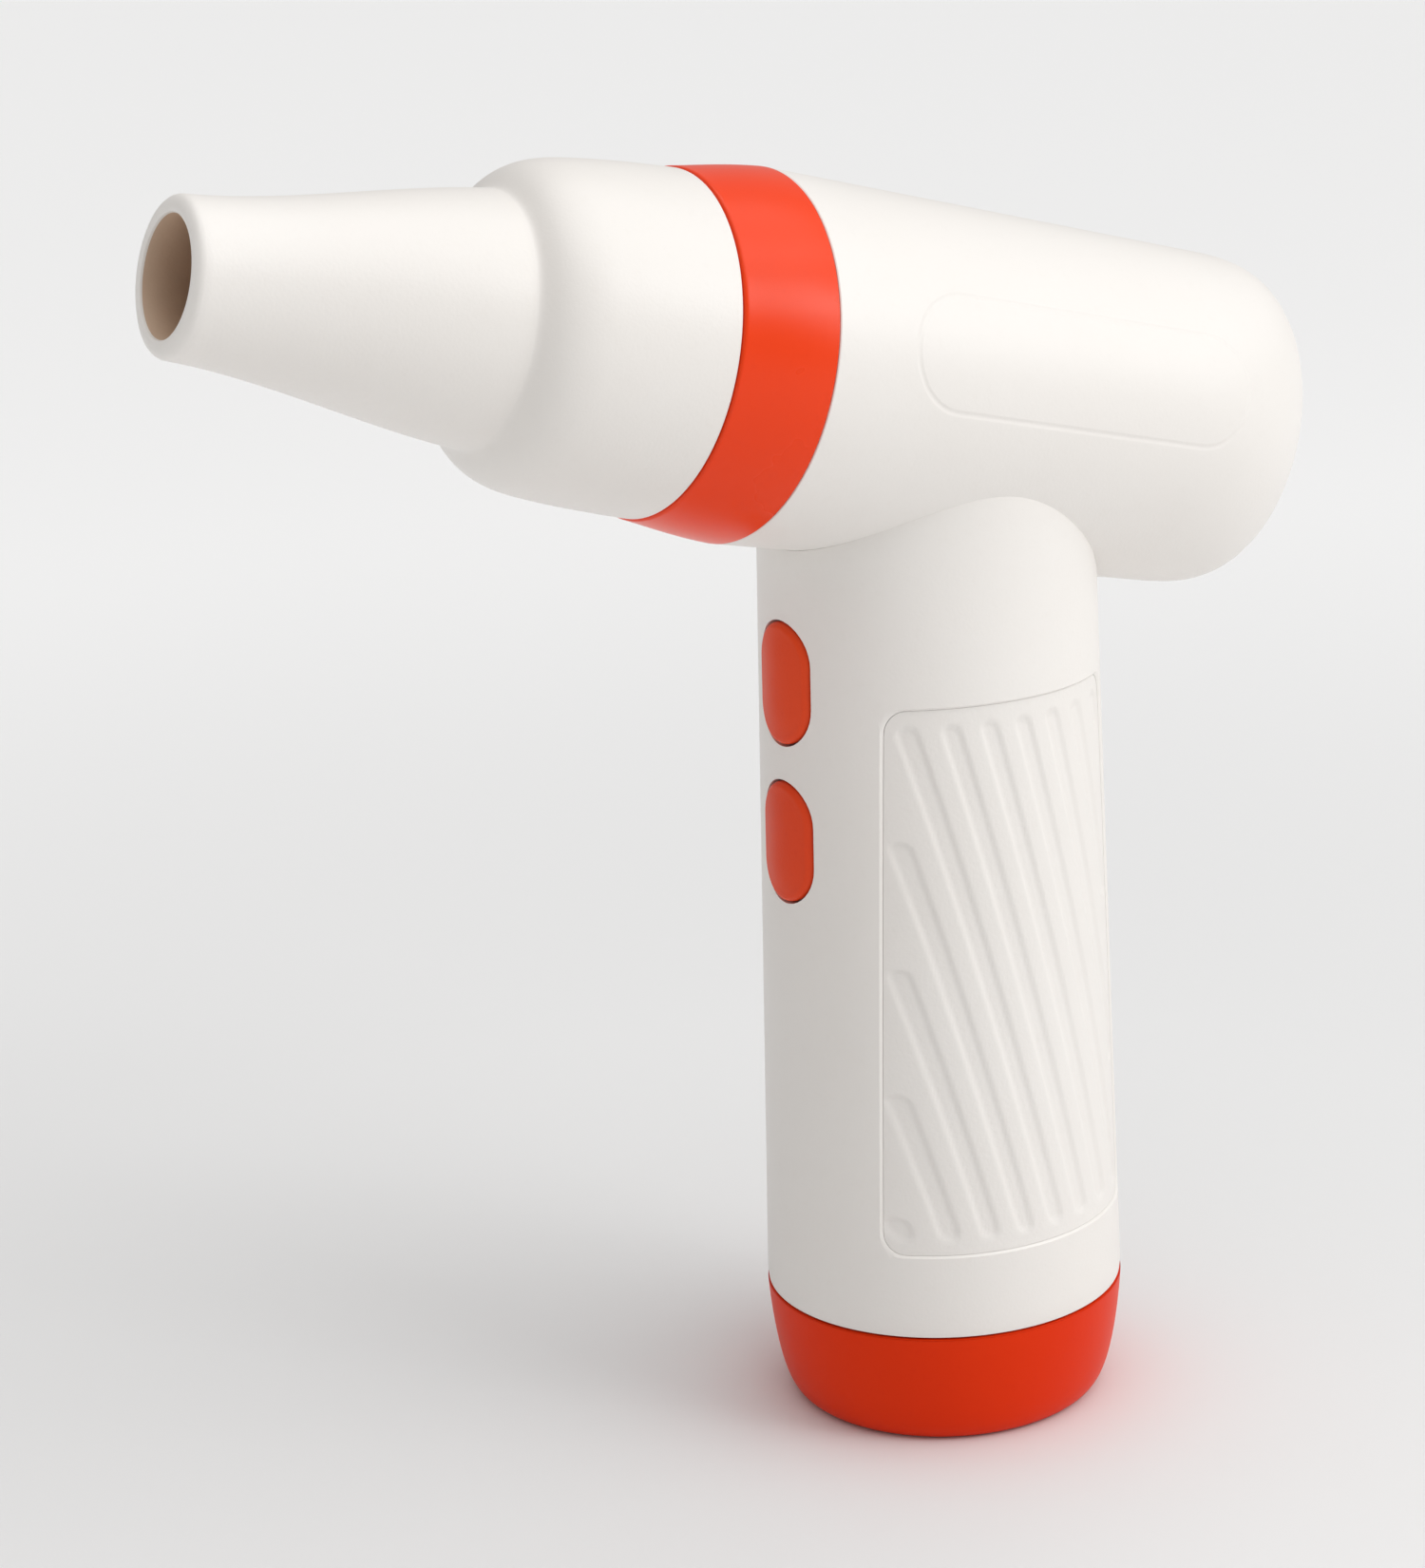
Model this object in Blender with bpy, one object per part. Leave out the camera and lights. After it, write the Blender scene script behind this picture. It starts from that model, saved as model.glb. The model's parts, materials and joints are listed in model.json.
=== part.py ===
"""Cordless air duster: a pitched fan barrel with a pull-off nozzle, standing on an upright battery handle.

Two frames place everything. The handle frame is the world: its origin is the centre of the cap's flat base
and +Z runs up the grip. The barrel frame is an empty at the height where the barrel's axis crosses the grip's,
pitched nose up: its +X runs along the barrel towards the tail, and the nozzle points along its -X.
"""

import math

import bmesh
import bpy

MM = 0.001
GAP = 0.3 * MM  # clearance between neighbouring pieces

# Handle: an oval tube, nearly round at the cap and narrower across its sides at the top.
SEAM_HEIGHT = 15.5 * MM
GRIP_RISE = 81.0 * MM
HALF_DEPTH_LOW, HALF_DEPTH_HIGH = 23.74 * MM, 22.52 * MM
HALF_WIDTH_LOW, HALF_WIDTH_HIGH = 23.0 * MM, 19.86 * MM
HANDLE_TOP = 124.0 * MM
HANDLE_WALL = 2.4 * MM

# Barrel: slightly tapered towards a tail that is round in plan and squarer from the side.
AXIS_HEIGHT = 134.0 * MM
PITCH = math.radians(12.66)
BARREL_FRONT = -28.3 * MM
BARREL_RADIUS = 22.5 * MM
BARREL_DRAFT = 0.014
BARREL_WALL = 2.0 * MM
TAIL_WALL_SHARE = 1.15  # the tail's end wall over the barrel's
TAIL_END = 56.2 * MM
TAIL_PLAN_START, TAIL_SIDE_START = 27.7 * MM, 38.0 * MM
TAIL_PLAN_POWER, TAIL_SIDE_POWER, TAIL_SIDE_ROOT = 2.2, 3.0, 2.18
SLOT_COUNT, SLOT_PITCH = 7, 4.9 * MM
SLOT_HALF_LENGTH, SLOT_HALF_HEIGHT = 10.4 * MM, 1.0 * MM
SLOT_START = 44.6 * MM

# Neck: the short tube under the barrel that fits inside the handle, and its two screws.
NECK_LOW, NECK_HIGH = 88.0 * MM, 118.0 * MM
NECK_WALL = 1.6 * MM
SCREW_HEIGHT = 92.5 * MM
SCREW_RADIUS, SCREW_HEAD_RADIUS = 1.2 * MM, 2.5 * MM

# Collar ring and nozzle.
COLLAR_FRONT = -40.2 * MM
COLLAR_FRONT_RADIUS = 20.8 * MM
COLLAR_BORE = 18.9 * MM
NOZZLE_TIP = -101.1 * MM
NOZZLE_MOUTH_RADIUS = 6.8 * MM
SPIGOT_RADIUS = COLLAR_BORE - GAP
SPIGOT_END = -31.0 * MM
SPIGOT_BORE = 16.2 * MM
SEAL_PLACE = -36.0 * MM
SEAL_SECTION = 0.7 * MM
SEAL_GROOVE_HALF, SEAL_GROOVE_FLOOR = 1.05 * MM, 17.0 * MM

# Keys on the front of the grip.
KEY_HEIGHTS = {"power": 99.2 * MM, "mode": 78.9 * MM}
KEY_HALF_WIDTH, KEY_HALF_HEIGHT = 5.1 * MM, 7.7 * MM
KEY_CROWN = 0.9 * MM
KEY_DEPTH = 4.7 * MM  # from the handle's face to the back of a key
KEY_FLANGE = 0.9 * MM
PLUNGER_RADIUS, PLUNGER_LENGTH = 1.7 * MM, 2.4 * MM
SWITCH_HALF = 3.0 * MM
SWITCH_STANDOFF = 1.4 * MM

# Grip panels set into both sides of the handle.
PANEL_BOTTOM, PANEL_TOP = 26.5 * MM, 97.4 * MM
PANEL_EDGE_Y = 13.2 * MM
PANEL_CORNER = 3.0 * MM
POCKET_DEPTH = 1.5 * MM
PANEL_SET_BACK = 0.3 * MM
PANEL_THICKNESS = 0.9 * MM

# Cap.
CAP_BASE_SHARE = 0.777
CAP_SIDE_POWER, CAP_EDGE_POWER = 1.243, 3.115
CAP_WALL = 2.6 * MM
CAP_FLOOR = 2.4 * MM
CAP_LIP_RISE, CAP_LIP_WALL = 6.0 * MM, 1.4 * MM
PORT_HEIGHT = 11.5 * MM
PORT_HALF_WIDTH, PORT_HALF_HEIGHT = 4.5 * MM, 1.6 * MM
LIGHT_Y, LIGHT_RADIUS = 9.0 * MM, 1.0 * MM

# Cells and boards.
CELL_RADIUS, CELL_LENGTH = 9.15 * MM, 50.0 * MM
CELL_OFFSET = 9.45 * MM
CELL_BOTTOM = 19.5 * MM
BOARD_THICKNESS = 1.6 * MM
MAIN_BOARD_X = 6.0 * MM
SWITCH_BOARD_X = -13.1 * MM

# Fan unit.
DUCT_RADIUS, DUCT_WALL = 18.2 * MM, 1.2 * MM
HUB_RADIUS, HUB_WALL = 11.8 * MM, 1.0 * MM
DUCT_FRONT, DUCT_REAR = -22.0 * MM, 22.0 * MM
VANE_COUNT, BLADE_COUNT = 7, 9
IMPELLER_FRONT, IMPELLER_REAR = 11.0 * MM, 19.0 * MM
SHAFT_RADIUS = 1.5 * MM
MOTOR_RADIUS = 10.4 * MM
MOTOR_WALL = 0.8 * MM
BEARING_SEAT, BEARING_WIDTH = 4.4 * MM, 2.5 * MM
MOTOR_FRONT, MOTOR_JOINT, MOTOR_REAR = -12.5 * MM, 6.0 * MM, 9.0 * MM
STATOR_FRONT, STATOR_REAR = -6.0 * MM, 2.0 * MM
TOOTH_COUNT = 6
DAMPER_FRONTS = {"front": -18.0 * MM, "rear": 12.0 * MM}
DAMPER_WIDTH = 4.0 * MM
FILTER_FRONT, FILTER_REAR = 33.0 * MM, 36.0 * MM

FINE_SIDES = 40
SIDES = 28
SMALL_SIDES = 14
TINY_SIDES = 10


# ---------------------------------------------------------------- basic tools


def clear_scene():
    for obj in list(bpy.data.objects):
        bpy.data.objects.remove(obj, do_unlink=True)


def make_finish(name, colour, roughness, metallic=0.0):
    """A Principled material with one colour."""
    finish = bpy.data.materials.new(name)
    finish.use_nodes = True
    shader = finish.node_tree.nodes["Principled BSDF"]
    shader.inputs["Base Color"].default_value = (*colour, 1.0)
    shader.inputs["Roughness"].default_value = roughness
    shader.inputs["Metallic"].default_value = metallic
    return finish


def make_frame(name, location, pitch=0.0):
    """An empty that pieces are placed on."""
    frame = bpy.data.objects.new(name, None)
    bpy.context.scene.collection.objects.link(frame)
    frame.location = location
    frame.rotation_euler = (0.0, pitch, 0.0)
    return frame


def place(name, mesh, finish=None, parent=None):
    """Links a mesh as an object under the given frame and shades its round faces smooth."""
    obj = bpy.data.objects.new(name, mesh)
    bpy.context.scene.collection.objects.link(obj)
    obj.parent = parent
    if finish:
        mesh.materials.append(finish)
    mesh.shade_smooth()
    mesh.set_sharp_from_angle(angle=math.radians(35))
    return obj


def skin(rings, closed=False):
    """Faces between rings of equal length, joined end to end if closed and capped if not.

    All faces are triangles, because a warped face spoils a Boolean.
    """
    bm = bmesh.new()
    loops = [[bm.verts.new(point) for point in ring] for ring in rings]
    pairs = list(zip(loops, loops[1:]))
    if closed:
        pairs.append((loops[-1], loops[0]))
    else:
        bm.faces.new(loops[0])
        bm.faces.new(loops[-1])
    for first, second in pairs:
        for i in range(len(first)):
            j = (i + 1) % len(first)
            bm.faces.new((first[i], first[j], second[j], second[i]))
    bmesh.ops.recalc_face_normals(bm, faces=bm.faces)
    bmesh.ops.triangulate(bm, faces=bm.faces)
    mesh = bpy.data.meshes.new("skin")
    bm.to_mesh(mesh)
    bm.free()
    return mesh


def ring_about_x(along, radius_y, radius_z, sides=SIDES):
    turns = [2 * math.pi * i / sides for i in range(sides)]
    return [(along, radius_y * math.cos(t), radius_z * math.sin(t)) for t in turns]


def ring_about_z(height, radius_x, radius_y, sides=SIDES, centre=(0.0, 0.0)):
    turns = [2 * math.pi * i / sides for i in range(sides)]
    return [(centre[0] + radius_x * math.cos(t), centre[1] + radius_y * math.sin(t), height) for t in turns]


def turned(name, profile, finish=None, parent=None, sides=SIDES, hollow=True):
    """A turned piece about the X axis, from an outline of (along, radius) points."""
    rings = [ring_about_x(along, radius, radius, sides) for along, radius in profile]
    return place(name, skin(rings, hollow), finish, parent)


def disc_along_z(name, bottom, top, radius_x, radius_y, finish=None, centre=(0.0, 0.0), sides=SIDES):
    rings = [ring_about_z(height, radius_x, radius_y, sides, centre) for height in (bottom, top)]
    return place(name, skin(rings), finish)


def rod_along_x(name, stations, y, z, finish=None, parent=None, sides=TINY_SIDES):
    """A round rod off the X axis, from (along, radius) stations."""
    turns = [2 * math.pi * i / sides for i in range(sides)]
    rings = [[(x, y + r * math.cos(t), z + r * math.sin(t)) for t in turns] for x, r in stations]
    return place(name, skin(rings), finish, parent)


def rod_along_y(name, stations, x, z, finish=None, sides=TINY_SIDES):
    """A round rod across the handle, from (across, radius) stations."""
    turns = [2 * math.pi * i / sides for i in range(sides)]
    rings = [[(x + r * math.cos(t), y, z + r * math.sin(t)) for t in turns] for y, r in stations]
    return place(name, skin(rings), finish)


def block(name, low, high, finish=None, parent=None):
    """A box between two corners."""
    rings = [[(low[0], low[1], z), (high[0], low[1], z), (high[0], high[1], z), (low[0], high[1], z)]
             for z in (low[2], high[2])]
    return place(name, skin(rings), finish, parent)


def combine(target, other, operation="DIFFERENCE"):
    """Cuts a piece with another shape, or joins the shape to it. The shape is then no piece of its own."""
    other.name = "helper_" + other.name
    other.hide_render = True
    other.display_type = "WIRE"
    modifier = target.modifiers.new(other.name, "BOOLEAN")
    modifier.operation = operation
    modifier.object = other
    modifier.solver = "EXACT"


def bezier(points, steps):
    """Points along one cubic curve given by its four control points."""
    found = []
    for i in range(steps + 1):
        t = i / steps
        weights = ((1 - t) ** 3, 3 * t * (1 - t) ** 2, 3 * t * t * (1 - t), t ** 3)
        found.append(tuple(sum(w * p[k] for w, p in zip(weights, points)) for k in range(2)))
    return found


def in_metres(points):
    return [tuple(c * MM for c in point) for point in points]


# ---------------------------------------------------------------- driving shapes


def handle_half_sizes(height, inset=0.0):
    """Half depth along X and half width along Y of the handle's outside at a height, less an inset."""
    share = (height - SEAM_HEIGHT) / GRIP_RISE
    depth = HALF_DEPTH_LOW + (HALF_DEPTH_HIGH - HALF_DEPTH_LOW) * share
    width = HALF_WIDTH_LOW + (HALF_WIDTH_HIGH - HALF_WIDTH_LOW) * share
    return depth - inset, width - inset


def handle_ring(height, inset=0.0, sides=FINE_SIDES):
    depth, width = handle_half_sizes(height, inset)
    return ring_about_z(height, depth, width, sides)


def barrel_radius(along):
    return BARREL_RADIUS - BARREL_DRAFT * (along - BARREL_FRONT)


def tail_half_sizes(along, inset=0.0):
    """Half width along Y and half height of the barrel's outside, less a wall."""
    end = TAIL_END - inset * TAIL_WALL_SHARE
    radius = barrel_radius(along) - inset
    plan = min(max((along - TAIL_PLAN_START) / (end - TAIL_PLAN_START), 0), 1)
    side = min(max((along - TAIL_SIDE_START) / (end - TAIL_SIDE_START), 0), 1)
    width = radius * (1 - plan ** TAIL_PLAN_POWER) ** (1 / TAIL_PLAN_POWER)
    height = radius * (1 - side ** TAIL_SIDE_POWER) ** (1 / TAIL_SIDE_ROOT)
    return width, height


def barrel_solid(front, inset=0.0, sides=FINE_SIDES, steps=8):
    """Rings of the closed barrel from its front to the tip of its tail."""
    end = TAIL_END - inset * TAIL_WALL_SHARE
    turns = [math.pi / 2 * i / steps for i in range(steps)]
    places = [front] + [TAIL_PLAN_START + (end - TAIL_PLAN_START) * math.sin(t) for t in turns]
    places.append(end - 0.08 * MM)
    return [ring_about_x(along, *tail_half_sizes(along, inset), sides) for along in places]


def nozzle_outside():
    """Outline of the nozzle's outside in millimetres: rounded lip, swelling cone, soft step and wide nose."""
    tip = NOZZLE_TIP / MM
    lip = [(tip, 7.9), (tip + 0.4, 8.7)]
    cone = bezier([(tip + 1.0, 8.95), (-88.0, 9.6), (-76.0, 13.4), (-63.5, 14.85)], 5)
    step = bezier([(-63.5, 14.85), (-62.2, 15.2), (-62.2, 18.5), (-55.8, 19.4)], 5)
    return lip + cone + step[1:] + [(-50.0, 20.1), (COLLAR_FRONT / MM - 0.3, 20.6)]


def cap_share(drop):
    """Size of the cap's outline at a drop below its seam, as a share of the seam's."""
    turn = math.asin(min(drop / SEAM_HEIGHT, 1) ** (CAP_SIDE_POWER / 2))
    return CAP_BASE_SHARE + (1 - CAP_BASE_SHARE) * max(math.cos(turn), 0) ** (2 / CAP_EDGE_POWER)


def long_oval(half_width, half_length, steps=5):
    """Outline of a slot with round ends, as (across, lengthwise) points round its centre."""
    straight = half_length - half_width
    points = []
    for centre, start in ((straight, 0.0), (-straight, math.pi)):
        for i in range(steps + 1):
            t = start + math.pi * i / steps
            points.append((half_width * math.cos(t), centre + half_width * math.sin(t)))
    return points


# ---------------------------------------------------------------- barrel and nozzle


def make_barrel_housing(frame, white):
    housing = place("barrel_housing", skin(barrel_solid(BARREL_FRONT)), white, frame)
    socket = HANDLE_WALL + GAP
    neck = skin([handle_ring(z, socket, SIDES) for z in (NECK_LOW, NECK_HIGH)])
    combine(housing, place("neck", neck), "UNION")
    bore = skin(barrel_solid(BARREL_FRONT - 1 * MM, BARREL_WALL, SIDES, 6))
    combine(housing, place("bore", bore, None, frame))
    ends = NECK_LOW - 1 * MM, NECK_HIGH + 4 * MM
    inside = skin([handle_ring(z, socket + NECK_WALL, SIDES) for z in ends])
    hollow = place("neck_hollow", inside)
    belly = barrel_radius(0.0) - 0.1 * MM
    combine(hollow, turned("belly", [(-60 * MM, belly), (60 * MM, belly)], None, frame, hollow=False))
    combine(housing, hollow)
    combine(housing, block("wire_window", (-13 * MM, -6 * MM, 105 * MM), (4 * MM, 6 * MM, 119 * MM)))
    combine(housing, block("key_window", (-26 * MM, -9.5 * MM, 86 * MM), (-10.4 * MM, 9.5 * MM, 112.4 * MM)))
    for i in range(SLOT_COUNT):
        middle = (i - (SLOT_COUNT - 1) / 2) * SLOT_PITCH
        low = (SLOT_START, -SLOT_HALF_LENGTH, middle - SLOT_HALF_HEIGHT)
        high = (TAIL_END + 4 * MM, SLOT_HALF_LENGTH, middle + SLOT_HALF_HEIGHT)
        combine(housing, block(f"slot_{i}", low, high, None, frame))
    reach = HALF_WIDTH_LOW + 1 * MM
    radius = SCREW_RADIUS + GAP
    combine(housing, rod_along_y("screw_way", [(-reach, radius), (reach, radius)], 0.0, SCREW_HEIGHT))


def make_collar(frame, orange):
    front, back, bore = COLLAR_FRONT / MM, BARREL_FRONT / MM - 0.3, COLLAR_BORE / MM
    crown = bezier([(front, COLLAR_FRONT_RADIUS / MM), (-36.9, 21.3), (-33.3, 22.1),
                    (back, BARREL_RADIUS / MM)], 5)
    sleeve_radius, sleeve_end = 20.1, -24.2
    sleeve = [(back, sleeve_radius), (sleeve_end, sleeve_radius), (sleeve_end, bore), (front, bore)]
    turned("collar_ring", in_metres(crown + sleeve), orange, frame, FINE_SIDES)


def make_nozzle(frame, white, black):
    edges = SEAL_PLACE - SEAL_GROOVE_HALF, SEAL_PLACE + SEAL_GROOVE_HALF
    spigot = [(COLLAR_FRONT - 0.3 * MM, SPIGOT_RADIUS), (edges[0], SPIGOT_RADIUS),
              (edges[0], SEAL_GROOVE_FLOOR), (edges[1], SEAL_GROOVE_FLOOR), (edges[1], SPIGOT_RADIUS),
              (SPIGOT_END, SPIGOT_RADIUS), (SPIGOT_END, SPIGOT_BORE)]
    bore = [(-51.0, SPIGOT_BORE / MM), (-58.0, 13.9), (-76.0, 10.4), (-88.0, 7.7),
            (-95.0, NOZZLE_MOUTH_RADIUS / MM)]
    outline = in_metres(nozzle_outside()) + spigot + in_metres(bore) + [(NOZZLE_TIP, NOZZLE_MOUTH_RADIUS)]
    turned("nozzle", outline, white, frame)
    middle = SPIGOT_RADIUS + 0.15 * MM - SEAL_SECTION
    turns = [2 * math.pi * i / 6 for i in range(6)]
    section = [(SEAL_PLACE + SEAL_SECTION * math.cos(t), middle + SEAL_SECTION * math.sin(t)) for t in turns]
    turned("nozzle_seal", section, black, frame)


# ---------------------------------------------------------------- fan unit


def twisted_blades(name, count, ends, radii, sweep, thickness, frame):
    """Plates standing round the axis, each leaning round it by a sweep angle between its ends."""
    front, rear = ends
    inner, outer = radii
    steps = 2
    bm = bmesh.new()
    for k in range(count):
        base = 2 * math.pi * k / count
        loops = []
        for i in range(steps + 1):
            along = front + (rear - front) * i / steps
            turn = base + sweep * i / steps
            loop = []
            for radius, side in ((inner, -1), (inner, 1), (outer, 1), (outer, -1)):
                t = turn + side * thickness / 2 / radius
                loop.append(bm.verts.new((along, radius * math.cos(t), radius * math.sin(t))))
            loops.append(loop)
        for first, second in zip(loops, loops[1:]):
            for i in range(4):
                j = (i + 1) % 4
                bm.faces.new((first[i], first[j], second[j], second[i]))
        bm.faces.new(loops[0])
        bm.faces.new(loops[-1])
    bmesh.ops.recalc_face_normals(bm, faces=bm.faces)
    bmesh.ops.triangulate(bm, faces=bm.faces)
    mesh = bpy.data.meshes.new(name)
    bm.to_mesh(mesh)
    bm.free()
    return place(name, mesh, None, frame)


def tube(name, front, rear, bore, radius, finish=None, frame=None, sides=SIDES):
    return turned(name, [(front, bore), (front, radius), (rear, radius), (rear, bore)], finish, frame, sides)


def make_fan_duct(frame, grey):
    inner = DUCT_RADIUS - DUCT_WALL
    duct = tube("fan_duct", DUCT_FRONT, DUCT_REAR, inner, DUCT_RADIUS, grey, frame)
    hub = tube("duct_hub", MOTOR_FRONT - 0.5 * MM, MOTOR_REAR, HUB_RADIUS - HUB_WALL, HUB_RADIUS, None, frame)
    vanes = twisted_blades("vanes", VANE_COUNT, (-10 * MM, 4 * MM), (HUB_RADIUS - 0.5 * MM, inner + 0.5 * MM),
                           math.radians(24), 1.2 * MM, frame)
    combine(duct, hub, "UNION")
    combine(duct, vanes, "UNION")


def make_impeller(frame, black):
    front, rear, bore = IMPELLER_FRONT / MM, IMPELLER_REAR / MM, SHAFT_RADIUS / MM + 0.3
    dome = bezier([(rear + 4.5, 0.9), (rear + 4.2, 5.5), (rear - 1.0, 8.6), (front, HUB_RADIUS / MM - 0.2)], 4)
    outline = [(along, max(radius, bore)) for along, radius in dome] + [(front, bore)]
    impeller = turned("impeller", in_metres(outline), black, frame)
    tips = DUCT_RADIUS - DUCT_WALL - 0.45 * MM
    blades = twisted_blades("blades", BLADE_COUNT, (IMPELLER_FRONT + 0.4 * MM, IMPELLER_REAR - 0.5 * MM),
                            (7.0 * MM, tips), math.radians(-38), 1.0 * MM, frame)
    combine(impeller, blades, "UNION")


def make_stator(frame, steel):
    """The stator's laminations: a ring with teeth pointing in."""
    steps = 6
    turns = [2 * math.pi * i / (TOOTH_COUNT * steps) for i in range(TOOTH_COUNT * steps)]
    teeth = [5.0 * MM if i % steps < steps - 2 else 7.6 * MM for i in range(len(turns))]
    rim = [MOTOR_RADIUS - MOTOR_WALL - GAP] * len(turns)
    outlines = ((STATOR_FRONT, rim), (STATOR_REAR, rim), (STATOR_REAR, teeth), (STATOR_FRONT, teeth))
    rings = [[(along, r * math.cos(t), r * math.sin(t)) for r, t in zip(radii, turns)]
             for along, radii in outlines]
    place("motor_stator", skin(rings, True), steel, frame)


def make_motor(frame, finishes):
    steel, aluminium = finishes["steel"], finishes["aluminium"]
    bore = MOTOR_RADIUS - MOTOR_WALL
    floor = MOTOR_FRONT + BEARING_WIDTH + 0.7 * MM
    turned("motor_can", [(MOTOR_FRONT, BEARING_SEAT), (MOTOR_FRONT, MOTOR_RADIUS), (MOTOR_JOINT, MOTOR_RADIUS),
                         (MOTOR_JOINT, bore), (floor, bore), (floor, BEARING_SEAT)], aluminium, frame)
    tube("motor_end_cap", MOTOR_JOINT + GAP, MOTOR_REAR, BEARING_SEAT, MOTOR_RADIUS, aluminium, frame)
    make_stator(frame, steel)
    for name, front in (("winding_front", -8.8), ("winding_rear", 2.4)):
        profile = [(front, 5.6), (front + 0.6, 8.4), (front + 2.0, 8.4), (front + 2.4, 5.6)]
        turned(name, in_metres(profile), finishes["copper"], frame, SMALL_SIDES)
    for name, front in (("bearing_front", MOTOR_FRONT), ("bearing_rear", MOTOR_JOINT + GAP)):
        tube(name, front, front + BEARING_WIDTH, SHAFT_RADIUS + 0.1 * MM, BEARING_SEAT - GAP, steel, frame,
             SMALL_SIDES)
    shaft = [(MOTOR_FRONT - GAP, SHAFT_RADIUS), (IMPELLER_REAR + 0.5 * MM, SHAFT_RADIUS)]
    turned("rotor_shaft", shaft, steel, frame, SMALL_SIDES, False)
    tube("rotor_magnet", STATOR_FRONT, STATOR_REAR, SHAFT_RADIUS + GAP, 4.3 * MM, finishes["grey"], frame,
         SMALL_SIDES)
    cone = bezier([(MOTOR_FRONT / MM - 0.8, HUB_RADIUS / MM), (-20.0, 11.0), (-25.0, 6.5), (-27.5, 1.2)], 5)
    turned("tail_cone", in_metres(cone), finishes["black"], frame, SIDES, False)


def make_dampers(frame, black):
    for name, front in DAMPER_FRONTS.items():
        rear = front + DAMPER_WIDTH
        rim = barrel_radius(rear) - BARREL_WALL - 0.25 * MM
        tube(f"damper_ring_{name}", front, rear, DUCT_RADIUS + 0.25 * MM, rim, black, frame)


def make_intake_filter(frame, grey):
    inset = BARREL_WALL + GAP
    rings = [ring_about_x(along, *tail_half_sizes(along, inset)) for along in (FILTER_FRONT, FILTER_REAR)]
    place("intake_filter", skin(rings), grey, frame)


def make_motor_terminal(frame, black):
    """The plug under the duct where the motor's leads end."""
    block("motor_terminal", (-4 * MM, -4.5 * MM, -23.4 * MM), (3 * MM, 4.5 * MM, -18.6 * MM), black, frame)


# ---------------------------------------------------------------- handle


def make_handle_shell(frame, white):
    heights = [SEAM_HEIGHT + GAP, HANDLE_TOP]
    rings = [handle_ring(z) for z in heights] + [handle_ring(z, HANDLE_WALL) for z in reversed(heights)]
    shell = place("handle_shell", skin(rings, True), white)
    saddle = [(along, barrel_radius(along) + GAP) for along in (-62 * MM, 62 * MM)]
    combine(shell, turned("saddle", saddle, None, frame, FINE_SIDES, False))
    for key, middle in KEY_HEIGHTS.items():
        outline = long_oval(KEY_HALF_WIDTH + GAP, KEY_HALF_HEIGHT + GAP)
        rings = [[(x, y, middle + z) for y, z in outline] for x in (-26 * MM, -16 * MM)]
        combine(shell, place(f"{key}_window", skin(rings)))
    for side in (-1, 1):
        combine(shell, grip_plate("pocket", side, -1.0 * MM, POCKET_DEPTH, 0.0))
    reach, radius = HALF_WIDTH_LOW + 1 * MM, SCREW_HEAD_RADIUS + 0.4 * MM
    combine(shell, rod_along_y("screw_seat", [(-reach, radius), (reach, radius)], 0.0, SCREW_HEIGHT))


def grip_plate(name, side, near, far, shrink, finish=None):
    """A plate that follows the handle's side between two depths below its surface.

    Its ends stop at a fixed distance from the handle's middle plane, and its four corners are rounded.
    """
    low, high = PANEL_BOTTOM + shrink, PANEL_TOP - shrink
    edge = PANEL_EDGE_Y + shrink
    across = 10
    quarter = [math.pi / 2 * i / 2 for i in range(3)]
    rises = [PANEL_CORNER * (1 - math.cos(t)) for t in quarter]
    heights = [low + r for r in rises] + [high - r for r in reversed(rises)]
    loops = []
    for height in heights:
        drop = max(PANEL_CORNER - (height - low), PANEL_CORNER - (high - height), 0)
        inset = PANEL_CORNER - math.sqrt(max(PANEL_CORNER ** 2 - drop ** 2, 0))
        outer_x, outer_y = handle_half_sizes(height)
        reach = math.acos(edge / outer_y) - inset / outer_x
        turns = [-reach + 2 * reach * i / across for i in range(across + 1)]
        near_x, near_y = handle_half_sizes(height, near)
        far_x, far_y = handle_half_sizes(height, far)
        loop = [(near_x * math.sin(t), side * near_y * math.cos(t), height) for t in turns]
        loop += [(far_x * math.sin(t), side * far_y * math.cos(t), height) for t in reversed(turns)]
        loops.append(loop)
    return place(name, skin(loops), finish)


def make_grip_panels(finish):
    for name, side in (("grip_panel_left", -1), ("grip_panel_right", 1)):
        grip_plate(name, side, PANEL_SET_BACK, PANEL_SET_BACK + PANEL_THICKNESS, GAP, finish)


def make_neck_screws(steel):
    face = handle_half_sizes(SCREW_HEIGHT)[1]
    head, neck, end = face - 1.6 * MM, face - 2.3 * MM, face - 7.0 * MM
    for name, side in (("neck_screw_left", -1), ("neck_screw_right", 1)):
        stations = [(side * head, SCREW_HEAD_RADIUS), (side * neck, SCREW_HEAD_RADIUS),
                    (side * (neck - 0.4 * MM), SCREW_RADIUS), (side * end, SCREW_RADIUS)]
        rod_along_y(name, stations, 0.0, SCREW_HEIGHT, steel)


def key_back(middle):
    """Where the back of a key's flange lies along X."""
    return KEY_DEPTH - handle_half_sizes(middle)[0]


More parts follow.
